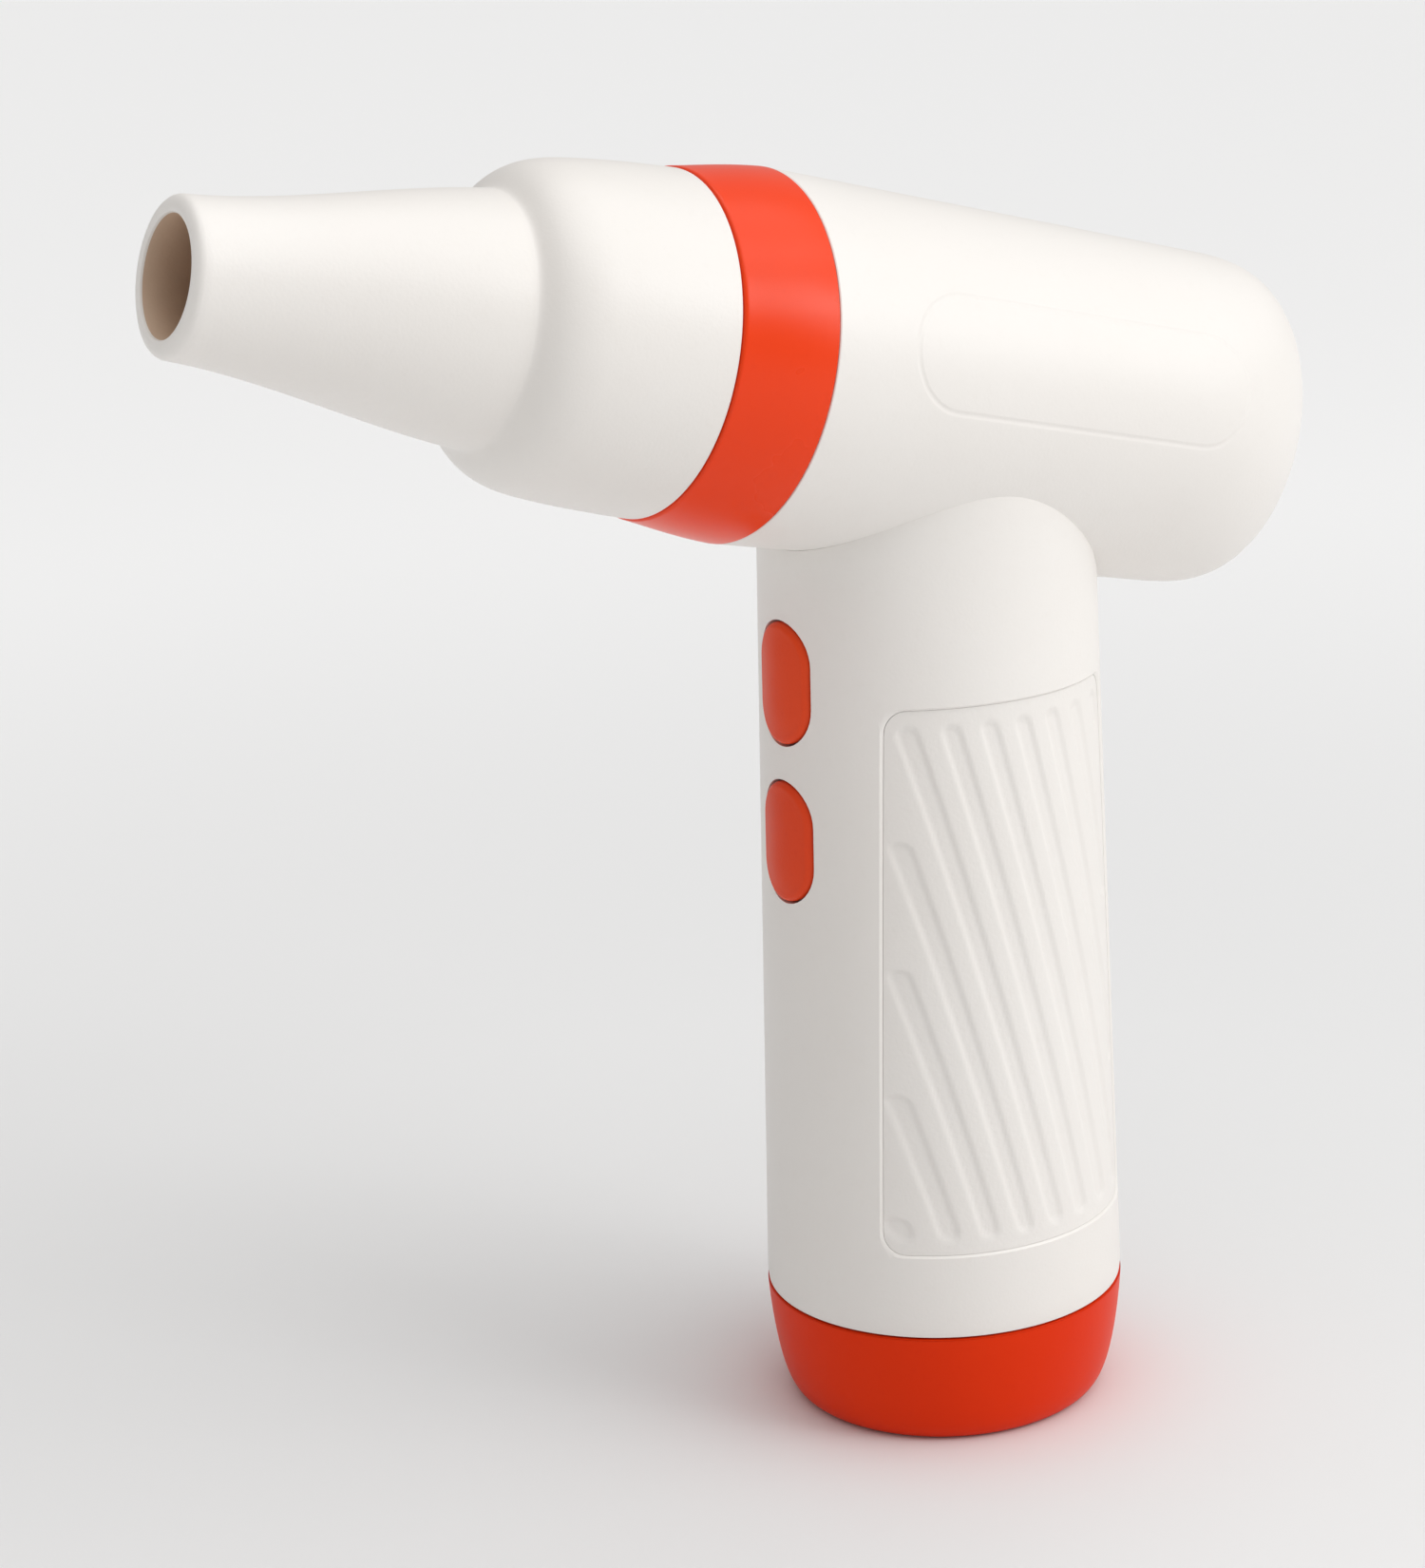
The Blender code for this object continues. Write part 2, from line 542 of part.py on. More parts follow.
def make_keys(frames, orange, black):
    for key, middle in KEY_HEIGHTS.items():
        outline = long_oval(KEY_HALF_WIDTH, KEY_HALF_HEIGHT)
        flange = [(y * 1.12, z * 1.08) for y, z in outline]
        back = key_back(middle)
        rings = [[(x, y, z) for y, z in shape]
                 for x, shape in ((back, flange), (back - KEY_FLANGE, flange), (back - KEY_FLANGE, outline))]
        for share, lift in ((1.0, 0.0), (0.9, 0.62 * MM), (0.72, 0.8 * MM), (0.4, KEY_CROWN)):
            ring = []
            for y, z in outline:
                half_x, half_y = handle_half_sizes(middle + z * share)
                surface = half_x * math.sqrt(1 - (y * share / half_y) ** 2)
                ring.append((-surface - lift, y * share, z * share))
            rings.append(ring)
        place(f"{key}_button", skin(rings), orange, frames[key])
        stations = [(back + GAP, PLUNGER_RADIUS), (back + GAP + PLUNGER_LENGTH, PLUNGER_RADIUS)]
        rod_along_x(f"{key}_plunger", stations, 0.0, 0.0, black, frames[key])


def make_switches(grey):
    for key, middle in KEY_HEIGHTS.items():
        front = key_back(middle) + SWITCH_STANDOFF
        body = block(f"{key}_switch", (front, -SWITCH_HALF, middle - SWITCH_HALF),
                     (SWITCH_BOARD_X - GAP, SWITCH_HALF, middle + SWITCH_HALF), grey)
        radius = PLUNGER_RADIUS + GAP
        way = [(front - 1 * MM, radius), (front + PLUNGER_LENGTH, radius)]
        combine(body, rod_along_x(f"{key}_plunger_way", way, 0.0, middle))


# ---------------------------------------------------------------- cap and charging


def make_cap(orange):
    shell = [ring_about_z(SEAM_HEIGHT * (1 - d), HALF_DEPTH_LOW * cap_share(SEAM_HEIGHT * d),
                          HALF_WIDTH_LOW * cap_share(SEAM_HEIGHT * d), FINE_SIDES)
             for d in (1.0, 0.985, 0.92, 0.8, 0.55, 0.0)]
    inset = HANDLE_WALL + GAP
    top = SEAM_HEIGHT + CAP_LIP_RISE
    lip = [handle_ring(SEAM_HEIGHT, inset), handle_ring(top, inset), handle_ring(top, inset + CAP_LIP_WALL)]
    hollow = []
    for height in (15.0 * MM, 8.0 * MM, CAP_FLOOR):
        share = cap_share(SEAM_HEIGHT - height)
        half_x, half_y = HALF_DEPTH_LOW * share - CAP_WALL, HALF_WIDTH_LOW * share - CAP_WALL
        hollow.append(ring_about_z(height, half_x, half_y, FINE_SIDES))
    cap = place("bottom_cap", skin(shell + lip + hollow), orange)
    mouth = long_oval(PORT_HALF_HEIGHT + 0.35 * MM, PORT_HALF_WIDTH + 0.4 * MM)
    rings = [[(x, length, PORT_HEIGHT + across) for across, length in mouth] for x in (18 * MM, 26 * MM)]
    combine(cap, place("usb_window", skin(rings)))
    way = [(15 * MM, LIGHT_RADIUS + GAP), (26 * MM, LIGHT_RADIUS + GAP)]
    combine(cap, rod_along_x("light_window", way, LIGHT_Y, PORT_HEIGHT))


def make_charging(green, steel, clear):
    disc_along_z("charge_board", 7.4 * MM, 9.0 * MM, 16.5 * MM, 15.5 * MM, green)
    outer = long_oval(PORT_HALF_HEIGHT, PORT_HALF_WIDTH)
    inner = long_oval(PORT_HALF_HEIGHT - 0.3 * MM, PORT_HALF_WIDTH - 0.3 * MM)
    back, floor, mouth = 14.3 * MM, 15.0 * MM, 21.6 * MM
    rings = [[(x, length, PORT_HEIGHT + across) for across, length in shape]
             for x, shape in ((back, outer), (mouth, outer), (mouth, inner), (floor, inner))]
    place("usb_port_shell", skin(rings), steel)
    pipe = [(14.5 * MM, LIGHT_RADIUS), (20.6 * MM, LIGHT_RADIUS)]
    rod_along_x("charge_light_pipe", pipe, LIGHT_Y, PORT_HEIGHT, clear)


# ---------------------------------------------------------------- battery and boards


def make_battery(finishes):
    top = CELL_BOTTOM + CELL_LENGTH
    stations = ((CELL_BOTTOM, 1.0), (top - 0.9 * MM, 1.0), (top - 0.5 * MM, 0.93), (top - 0.5 * MM, 0.35),
                (top, 0.33))
    for name, x in (("battery_cell_front", -CELL_OFFSET), ("battery_cell_rear", CELL_OFFSET)):
        rings = [ring_about_z(z, CELL_RADIUS * k, CELL_RADIUS * k, SIDES, (x, 0.0)) for z, k in stations]
        place(name, skin(rings), finishes["sleeve"])
    strip, half_y = 0.3 * MM, 3.5 * MM
    low, high = CELL_BOTTOM - GAP - strip, top + GAP
    for name, start, end, z in (("bottom", -14 * MM, 14 * MM, low), ("front", -13 * MM, -6 * MM, high),
                                ("rear", 6 * MM, 13 * MM, high)):
        block(f"bus_strip_{name}", (start, -half_y, z), (end, half_y, z + strip), finishes["nickel"])
    tray = 1.6 * MM
    disc_along_z("battery_tray_bottom", low - GAP - tray, low - GAP, 18.6 * MM, 12.0 * MM, finishes["black"])
    bottom = high + strip + GAP
    upper = disc_along_z("battery_tray_top", bottom, bottom + tray, 16.6 * MM, 12.0 * MM, finishes["black"])
    for k, x in enumerate((-CELL_OFFSET, CELL_OFFSET)):
        way = disc_along_z(f"lead_way_{k}", bottom - 1 * MM, bottom + 3 * MM, 1.6 * MM, 1.6 * MM, None,
                           (x, 0.0), TINY_SIDES)
        combine(upper, way)


def make_boards(finishes):
    green, black = finishes["green"], finishes["black"]
    block("switch_board", (SWITCH_BOARD_X, -7.0 * MM, 72.6 * MM),
          (SWITCH_BOARD_X + BOARD_THICKNESS, 7.0 * MM, 107 * MM), green)
    block("main_board", (MAIN_BOARD_X, -12 * MM, 74.5 * MM),
          (MAIN_BOARD_X + BOARD_THICKNESS, 12 * MM, 103 * MM), green)
    face, chip = MAIN_BOARD_X + BOARD_THICKNESS + GAP, 1.2 * MM
    block("controller_chip", (face, -3.5 * MM, 93 * MM), (face + chip, 3.5 * MM, 100 * MM), black)
    for i in range(3):
        middle = (i - 1) * 7.4 * MM
        block(f"mosfet_{i + 1}", (face, middle - 2.8 * MM, 85 * MM),
              (face + chip, middle + 2.8 * MM, 90.6 * MM), black)
    front = MAIN_BOARD_X - GAP
    can = [(front, 4.0 * MM), (front - 9.4 * MM, 4.0 * MM), (front - 10.0 * MM, 3.6 * MM)]
    rod_along_x("bulk_capacitor", can, 0.0, 84 * MM, finishes["aluminium"], sides=SMALL_SIDES)


def make_lead(name, points, finish, radius=0.55 * MM):
    """A wire through the given points, in millimetres, as a bevelled Bezier curve."""
    curve = bpy.data.curves.new(name, "CURVE")
    curve.dimensions = "3D"
    curve.bevel_depth = radius
    curve.bevel_resolution = 1
    curve.resolution_u = 4
    curve.use_fill_caps = True
    spline = curve.splines.new("BEZIER")
    spline.bezier_points.add(len(points) - 1)
    for knot, point in zip(spline.bezier_points, points):
        knot.co = [c * MM for c in point]
        knot.handle_left_type = knot.handle_right_type = "AUTO"
    curve.materials.append(finish)
    obj = bpy.data.objects.new(name, curve)
    bpy.context.scene.collection.objects.link(obj)


def make_leads(finishes):
    for i, colour in enumerate(("red", "sleeve", "black")):
        y = (i - 1) * 3.0
        route = [(4.9, y, 100.5), (1.5, y, 101.5), (-3.2, y, 104.5), (-5.3, y, 110.3)]
        make_lead(f"motor_lead_{i + 1}", route, finishes[colour])
    positive = [(-9.45, 0, 70.9), (-9.3, 0, 74.2), (-3.0, -5.5, 77.0), (5.0, -8.5, 78.0)]
    negative = [(9.45, 0, 70.9), (10.0, 1.5, 74.0), (10.3, 4.5, 77.0), (8.7, 6.5, 78.5)]
    make_lead("battery_lead_positive", positive, finishes["red"])
    make_lead("battery_lead_negative", negative, finishes["black"])


# ---------------------------------------------------------------- assembly


def make_finishes():
    return {
        "white": make_finish("warm_white_plastic", (0.87, 0.84, 0.80), 0.42),
        "orange": make_finish("orange_plastic", (0.83, 0.09, 0.02), 0.38),
        "panel": make_finish("grip_plastic", (0.85, 0.82, 0.78), 0.5),
        "black": make_finish("black_plastic", (0.03, 0.03, 0.035), 0.5),
        "grey": make_finish("grey_plastic", (0.3, 0.3, 0.32), 0.5),
        "green": make_finish("circuit_board", (0.03, 0.2, 0.08), 0.45),
        "steel": make_finish("steel", (0.6, 0.6, 0.62), 0.3, 1.0),
        "aluminium": make_finish("aluminium", (0.75, 0.75, 0.77), 0.35, 1.0),
        "nickel": make_finish("nickel", (0.7, 0.68, 0.62), 0.3, 1.0),
        "copper": make_finish("copper_wire", (0.75, 0.35, 0.15), 0.35, 1.0),
        "sleeve": make_finish("cell_sleeve", (0.05, 0.25, 0.6), 0.4),
        "red": make_finish("red_insulation", (0.6, 0.03, 0.02), 0.45),
        "clear": make_finish("clear_plastic", (0.85, 0.9, 0.88), 0.15),
    }


def main():
    clear_scene()
    frame = make_frame("barrel_frame", (0.0, 0.0, AXIS_HEIGHT), PITCH)
    key_frames = {key: make_frame(f"{key}_key_frame", (0.0, 0.0, middle))
                  for key, middle in KEY_HEIGHTS.items()}
    finishes = make_finishes()
    white, orange, black, grey = (finishes[name] for name in ("white", "orange", "black", "grey"))
    make_barrel_housing(frame, white)
    make_collar(frame, orange)
    make_nozzle(frame, white, black)
    make_fan_duct(frame, grey)
    make_impeller(frame, black)
    make_motor(frame, finishes)
    make_dampers(frame, black)
    make_intake_filter(frame, grey)
    make_motor_terminal(frame, black)
    make_handle_shell(frame, white)
    make_grip_panels(finishes["panel"])
    make_neck_screws(finishes["steel"])
    make_keys(key_frames, orange, black)
    make_switches(grey)
    make_cap(orange)
    make_charging(finishes["green"], finishes["steel"], finishes["clear"])
    make_battery(finishes)
    make_boards(finishes)
    make_leads(finishes)
    bpy.context.view_layer.update()


main()
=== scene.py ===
"""Looks of a cordless air duster: a pitched fan barrel with a pull-off nozzle on an upright battery grip.

Lengths are in metres and +Z is up. The grip stands on the origin. The barrel has a frame of its own, which the
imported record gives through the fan's axis: its +X runs along the barrel towards the tail.
"""

from __future__ import annotations

import json
import logging
import math
from dataclasses import dataclass
from enum import Enum
from typing import Callable, Sequence, Union

import bmesh
import bpy
from mathutils import Matrix, Vector

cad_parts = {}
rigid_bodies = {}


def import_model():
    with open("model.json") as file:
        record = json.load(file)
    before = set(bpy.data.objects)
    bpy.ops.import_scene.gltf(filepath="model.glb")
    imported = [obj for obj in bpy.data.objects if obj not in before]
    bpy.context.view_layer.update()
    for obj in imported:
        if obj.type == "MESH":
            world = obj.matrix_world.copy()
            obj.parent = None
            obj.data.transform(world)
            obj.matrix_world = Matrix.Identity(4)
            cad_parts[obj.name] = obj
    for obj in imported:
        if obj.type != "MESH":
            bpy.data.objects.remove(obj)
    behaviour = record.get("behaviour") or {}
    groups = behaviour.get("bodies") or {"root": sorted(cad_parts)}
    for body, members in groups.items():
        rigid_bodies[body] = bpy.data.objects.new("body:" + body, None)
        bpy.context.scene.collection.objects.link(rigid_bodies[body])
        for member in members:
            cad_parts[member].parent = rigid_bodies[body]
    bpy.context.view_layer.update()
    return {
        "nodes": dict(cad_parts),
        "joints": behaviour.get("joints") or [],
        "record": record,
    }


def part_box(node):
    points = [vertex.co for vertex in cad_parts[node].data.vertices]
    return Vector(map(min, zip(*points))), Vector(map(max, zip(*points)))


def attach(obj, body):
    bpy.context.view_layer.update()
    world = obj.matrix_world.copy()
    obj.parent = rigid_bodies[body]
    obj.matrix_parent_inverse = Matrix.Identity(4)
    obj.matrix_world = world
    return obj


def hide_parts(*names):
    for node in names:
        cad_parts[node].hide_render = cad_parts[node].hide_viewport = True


LOG = logging.getLogger("air_duster")
MM = 0.001
SEAM_GAP = 0.3 * MM
RELIEF_HEIGHT = 0.2 * MM

Point = tuple[float, float, float]
Ring = list[Point]
Profile = list[tuple[float, float]]
Colour = tuple[float, float, float]


# ------------------------------------------------------------------ node trees


def operator(operation: str, swapped: bool = False) -> Callable[[Value, Number], Value]:
    """Makes one of Value's operators from a Math node's operation.

    Args:
        operation: the node's operation.
        swapped: whether the value stands on the right.

    Returns:
        The operator.
    """
    def made(value: Value, other: Number) -> Value:
        """The operation on two numbers."""
        return value.graph.math(operation, *((other, value) if swapped else (value, other)))

    return made


class Value:
    """A number carried by a node socket, which can be used in plain arithmetic."""

    __add__, __radd__ = operator("ADD"), operator("ADD", swapped=True)
    __sub__, __rsub__ = operator("SUBTRACT"), operator("SUBTRACT", swapped=True)
    __mul__, __truediv__ = operator("MULTIPLY"), operator("DIVIDE")
    least, most = operator("MINIMUM"), operator("MAXIMUM")

    def __init__(self, graph: Graph, socket: bpy.types.NodeSocket) -> None:
        """Keeps the socket and its tree's builder."""
        self.graph = graph
        self.socket = socket

    def eased(self, low: float, high: float) -> Value:
        """A smooth rise from 0 at low to 1 at high."""
        span = self.graph.node("ShaderNodeMapRange", {"interpolation_type": "SMOOTHSTEP"},
                               {0: self, 1: low, 2: high, 3: 0.0, 4: 1.0})
        return Value(self.graph, span.outputs[0])


Number = Union[Value, float]


class Graph:
    """Builds the nodes of one shader or geometry tree."""

    def __init__(self, tree: bpy.types.NodeTree) -> None:
        """Keeps the tree that the nodes go into."""
        self.tree = tree

    def node(self, kind: str, settings: dict | None = None, inputs: dict | None = None) -> bpy.types.Node:
        """Adds one node.

        Args:
            kind: the node's type.
            settings: properties, set first; "stops" holds a ramp's (place, colour) pairs.
            inputs: a value or a link for each socket, by name or number.

        Returns:
            The new node.
        """
        made = self.tree.nodes.new(kind)
        for key, setting in (settings or {}).items():
            if key == "stops":
                self._set_stops(made.color_ramp, setting)
            else:
                setattr(made, key, setting)
        for key, source in (inputs or {}).items():
            if isinstance(source, Value):
                source = source.socket
            if isinstance(source, bpy.types.NodeSocket):
                self.tree.links.new(source, made.inputs[key])
            else:
                made.inputs[key].default_value = source
        return made

    @staticmethod
    def _set_stops(ramp: bpy.types.ColorRamp, stops: Sequence[tuple[float, Colour]]) -> None:
        """Gives a ramp its stops.

        Args:
            ramp: the ramp.
            stops: (place, colour) pairs in order.
        """
        while len(ramp.elements) < len(stops):
            ramp.elements.new(1.0)
        for element, (place, colour) in zip(ramp.elements, stops):
            element.position = place
            element.color = (*colour, 1.0)

    def math(self, operation: str, *values: Number) -> Value:
        """The result of a Math node, with its inputs in order."""
        made = self.node("ShaderNodeMath", {"operation": operation}, dict(enumerate(values)))
        return Value(self, made.outputs[0])

    def mixed(self, share: Number, first: object, second: object) -> bpy.types.NodeSocket:
        """A colour from the first, at a share of 0, to the second, at 1."""
        made = self.node("ShaderNodeMix", {"data_type": "RGBA"}, {0: share, 6: first, 7: second})
        return made.outputs[2]

    def noise(self, place: object, scale: float, detail: float = 2.0) -> Value:
        """Fractal noise between 0 and 1, with its scale in cells per metre."""
        made = self.node("ShaderNodeTexNoise", None, {"Vector": place, "Scale": scale, "Detail": detail})
        return Value(self, made.outputs[0])

    def surface(self, height: Value, relief: float, inputs: dict) -> None:
        """Ends a shader tree with a surface that has a fine relief.

        Args:
            height: the relief's height.
            relief: the relief's strength.
            inputs: a value or a link for each of the shader's other sockets.
        """
        bump = self.node("ShaderNodeBump", None,
                         {"Strength": relief, "Distance": RELIEF_HEIGHT, "Height": height})
        shader = self.node("ShaderNodeBsdfPrincipled", None, {**inputs, "Normal": bump.outputs[0]})
        self.node("ShaderNodeOutputMaterial", None, {"Surface": shader.outputs[0]})


def new_material(name: str) -> tuple[bpy.types.Material, Graph, bpy.types.NodeSocket]:
    """Starts a material with an empty tree.

    Args:
        name: its name.

    Returns:
        The material, its tree's builder and its object coordinates.
    """
    made = bpy.data.materials.new(name)
    made.use_nodes = True
    made.node_tree.nodes.clear()
    graph = Graph(made.node_tree)
    return made, graph, graph.node("ShaderNodeTexCoord").outputs["Object"]


# ------------------------------------------------------------------ finishes


class Grain(Enum):
    """How a surface's fine relief is laid out."""

    SPARK = "spark-eroded mould grain"
    BRUSHED = "fine lines along one way"
    FOAM = "open cells"
    WOUND = "turns of wire"
    BOARD = "solder mask over tracks"


@dataclass(frozen=True)
class Finish:
    """A surface finish: a colour that drifts a little, uneven gloss and a fine relief."""

    name: str
    colour: Colour
    shade: Colour
    roughness: float
    spread: float = 0.06
    metallic: float = 0.0
    grain: Grain = Grain.SPARK
    cells: float = 2600.0
    relief: float = 0.12
    coat: float = 0.0
    specular: float = 0.5

    def material(self) -> bpy.types.Material:
        """The finish as a material, made once.

        Returns:
            The material.
        """
        found = bpy.data.materials.get(self.name)
        if found:
            return found
        made, graph, place = new_material(self.name)
        tone, height = self._surface(graph, place)
        haze = graph.noise(place, 90.0, 3.0)
        graph.surface(height, self.relief, {
            "Base Color": tone, "Roughness": self.roughness + (haze - 0.5) * self.spread,
            "Metallic": self.metallic, "Coat Weight": self.coat, "Specular IOR Level": self.specular})
        return made

    def _surface(self, graph: Graph, place: bpy.types.NodeSocket) -> tuple[bpy.types.NodeSocket, Value]:
        """Colour and relief of the surface.

        Args:
            graph: the material's tree.
            place: object coordinates.

        Returns:
            The colour's socket and the relief's height.
        """
        broad = graph.noise(place, 26.0, 3.0).eased(0.3, 0.75)
        light, dark = (*self.colour, 1.0), (*self.shade, 1.0)
        if self.grain is Grain.BRUSHED:
            lines = graph.node("ShaderNodeMapping", None, {"Vector": place, "Scale": (60.0, 2200.0, 2200.0)})
            height = graph.noise(lines.outputs[0], 1.0, 3.0)
            return graph.mixed(broad * 0.5 + height * 0.5, light, dark), height
        if self.grain is Grain.FOAM:
            cells = graph.node("ShaderNodeTexVoronoi", None, {"Vector": place, "Scale": self.cells})
            depth = Value(graph, cells.outputs[0])
            # painted shade: the colour darkens in the cells' pits, where the relief is lowest
            return graph.mixed(depth.eased(0.1, 0.6), dark, light), depth
        if self.grain is Grain.WOUND:
            turns = graph.node("ShaderNodeTexWave", {"bands_direction": "X"},
                               {"Vector": place, "Scale": self.cells, "Distortion": 1.5})
            height = Value(graph, turns.outputs[1])
            # painted shade: the colour darkens in the troughs between the turns, where the relief is lowest
            return graph.mixed(height, dark, light), height
        if self.grain is Grain.BOARD:
            tracks = graph.node("ShaderNodeTexBrick", {"offset": 0.35, "squash": 0.6},
                                {"Vector": place, "Scale": self.cells, "Mortar Size": 0.03})
            height = Value(graph, tracks.outputs[1])
            return graph.mixed(height * 0.6 + broad * 0.2, light, dark), height
        height = graph.noise(place, self.cells, 2.0)
        specks = graph.noise(place, self.cells * 0.35, 2.0).eased(0.55, 0.8)
        return graph.mixed(broad * 0.7 + specks * 0.3, light, dark), height


WHITE = Finish("warm_white_moulding", (0.880, 0.850, 0.815), (0.855, 0.820, 0.780), 0.40, relief=0.10)
GRIP_WHITE = Finish("grip_moulding", (0.875, 0.845, 0.810), (0.850, 0.815, 0.775), 0.46, cells=1900.0,
                    relief=0.18)
ORANGE = Finish("orange_moulding", (0.90, 0.052, 0.002), (0.86, 0.045, 0.002), 0.28, relief=0.03,
                specular=0.28)
CAP_ORANGE = Finish("cap_moulding", (0.80, 0.036, 0.001), (0.76, 0.030, 0.001), 0.40, relief=0.05,
                    specular=0.10)
KEY_ORANGE = Finish("key_moulding", (0.82, 0.066, 0.010), (0.76, 0.052, 0.008), 0.42, cells=3200.0, relief=0.12,
                    specular=0.22)
SEAL_RUBBER = Finish("seal_rubber", (0.030, 0.030, 0.032), (0.018, 0.018, 0.019), 0.62, cells=1500.0,
                     relief=0.3)
BLACK = Finish("black_moulding", (0.032, 0.032, 0.036), (0.020, 0.020, 0.023), 0.45)
GREY = Finish("grey_moulding", (0.30, 0.30, 0.32), (0.25, 0.25, 0.27), 0.48)
# its shade colour is painted shade, which darkens the pits of the cells
FOAM = Finish("filter_foam", (0.16, 0.16, 0.17), (0.015, 0.015, 0.017), 0.9, grain=Grain.FOAM, cells=900.0,
              relief=1.0)
BOARD = Finish("circuit_board_mask", (0.02, 0.16, 0.06), (0.05, 0.28, 0.11), 0.38, grain=Grain.BOARD,
               cells=260.0, relief=0.3, coat=0.3)
STEEL = Finish("turned_steel", (0.62, 0.62, 0.64), (0.50, 0.50, 0.52), 0.28, metallic=1.0, grain=Grain.BRUSHED)
ALUMINIUM = Finish("satin_aluminium", (0.78, 0.78, 0.80), (0.66, 0.66, 0.68), 0.33, metallic=1.0,
                   grain=Grain.BRUSHED)
NICKEL = Finish("nickel_strip", (0.70, 0.67, 0.60), (0.58, 0.55, 0.49), 0.26, metallic=1.0, grain=Grain.BRUSHED)
# its shade colour is painted shade, which darkens the troughs between the turns
COPPER = Finish("enamelled_wire", (0.80, 0.36, 0.13), (0.36, 0.13, 0.05), 0.3, metallic=1.0, grain=Grain.WOUND,
                cells=420.0, relief=1.0)
SLEEVE = Finish("cell_sleeve", (0.04, 0.22, 0.55), (0.03, 0.17, 0.45), 0.28, cells=700.0, relief=0.05, coat=0.5)
INSULATION = Finish("lead_insulation", (0.60, 0.03, 0.02), (0.50, 0.02, 0.015), 0.45, cells=1800.0)
CLEAR = Finish("light_pipe", (0.86, 0.90, 0.88), (0.80, 0.86, 0.84), 0.12, relief=0.03, coat=1.0)

SLOT_FINISHES = {
    "warm_white_plastic": WHITE, "orange_plastic": ORANGE, "grip_plastic": GRIP_WHITE,
    "black_plastic": BLACK, "black_rubber": SEAL_RUBBER, "grey_plastic": GREY, "filter_foam": FOAM,
    "circuit_board": BOARD, "steel": STEEL, "aluminium": ALUMINIUM, "nickel": NICKEL,
    "copper_wire": COPPER, "cell_sleeve": SLEEVE, "insulation": INSULATION, "clear_plastic": CLEAR}


@dataclass(frozen=True)
class FloorFinish:
    """The matt pale floor, with a painted shadow: a little deeper in tone round the object's foot."""

    name: str = "pale_floor_painted_shadow"
    # near is the painted shadow's tone round the object's foot; far is the floor's own tone
    near: Colour = (0.80, 0.80, 0.80)
    far: Colour = (0.95, 0.95, 0.95)
    reach: tuple[float, float] = (0.12, 0.70)
    roughness: float = 0.8
    specular: float = 0.3
    cells: float = 800.0
    relief: float = 0.02

    def material(self) -> bpy.types.Material:
        """The finish as a material.

        Returns:
            The material.
        """
        made, graph, place = new_material(self.name)
        away = graph.node("ShaderNodeVectorMath", {"operation": "LENGTH"}, {0: place})
        # painted shadow: the floor darkens towards the origin, where the object stands, over reach
        share = Value(graph, away.outputs["Value"]).eased(*self.reach)
        graph.surface(graph.noise(place, self.cells), self.relief, {
            "Base Color": graph.mixed(share, (*self.near, 1.0), (*self.far, 1.0)),
            "Roughness": self.roughness, "Specular IOR Level": self.specular})
        return made


@dataclass(frozen=True)
class PaintedBoreShade:
    """The unlit inside of the nozzle, coloured with painted shade that deepens from its mouth inwards."""

    name: str = "nozzle_bore_painted_shade"
    # The three tones below are painted shade on the white moulding, from the mouth inwards.
    rim_shade: Colour = (0.64, 0.47, 0.34)
    middle: Colour = (0.44, 0.25, 0.155)
    deep_shade: Colour = (0.21, 0.10, 0.048)
    middle_share: float = 0.35
    reach: float = 40 * MM
    roughness: float = 0.5
    spread: float = 0.08
    cells: float = 2400.0
    relief: float = 0.12

    def material(self, mouth_x: float) -> bpy.types.Material:
        """The finish as a material.

        Args:
            mouth_x: where the mouth is along X.

        Returns:
            The material.
        """
        made, graph, place = new_material(self.name)
        along = Value(graph, graph.node("ShaderNodeSeparateXYZ", None, {0: place}).outputs[0])
        drift = (graph.noise(place, 120.0, 3.0) - 0.5) * self.spread
        # painted shade: darker the further along X from the mouth
        stops = [(0.0, self.rim_shade), (self.middle_share, self.middle), (1.0, self.deep_shade)]
        tone = graph.node("ShaderNodeValToRGB", {"stops": stops}, {0: (along - mouth_x) / self.reach + drift})
        graph.surface(graph.noise(place, self.cells), self.relief,
                      {"Base Color": tone.outputs[0], "Roughness": self.roughness + drift})
        return made


# ------------------------------------------------------------------ meshes


def curve_points(controls: Sequence[tuple[float, float]], steps: int) -> Profile:
    """Points along one cubic curve.

    Args:
        controls: its four control points.
        steps: how many stretches it is cut into.

    Returns:
        steps + 1 points.
    """
    found = []
    for i in range(steps + 1):
        t = i / steps
        weights = ((1 - t) ** 3, 3 * t * (1 - t) ** 2, 3 * t * t * (1 - t), t ** 3)
        found.append((sum(w * p[0] for w, p in zip(weights, controls)),
                      sum(w * p[1] for w, p in zip(weights, controls))))
    return found


def rounded(profile: Profile, radius: float, steps: int = 4) -> Profile:
    """A closed outline with each corner sharper than 25 degrees rounded.

    Args:
        profile: the outline's corners.
        radius: how far from a corner the rounding starts.
        steps: points in each rounding.

    Returns:
        The outline with its roundings.
    """
    found: Profile = []
    count = len(profile)
    for i, here in enumerate(profile):
        point = Vector(here)
        before, after = Vector(profile[i - 1]) - point, Vector(profile[(i + 1) % count]) - point
        if before.angle(after) > math.radians(155):
            found.append(here)
            continue
        start = point + before.normalized() * min(radius, before.length * 0.45)
        end = point + after.normalized() * min(radius, after.length * 0.45)
        for k in range(steps + 1):
            t = k / steps
            spot = start * (1 - t) ** 2 + point * (2 * t * (1 - t)) + end * t * t
            found.append((spot.x, spot.y))
    return found


def full_turn(count: int) -> list[float]:
    """Evenly spaced angles round a circle."""
    return [2 * math.pi * i / count for i in range(count)]


def circle(centre: tuple[float, float], radius: float, steps: int) -> Profile:
    """Points round a circle."""
    return [(centre[0] + radius * math.cos(t), centre[1] + radius * math.sin(t)) for t in full_turn(steps)]


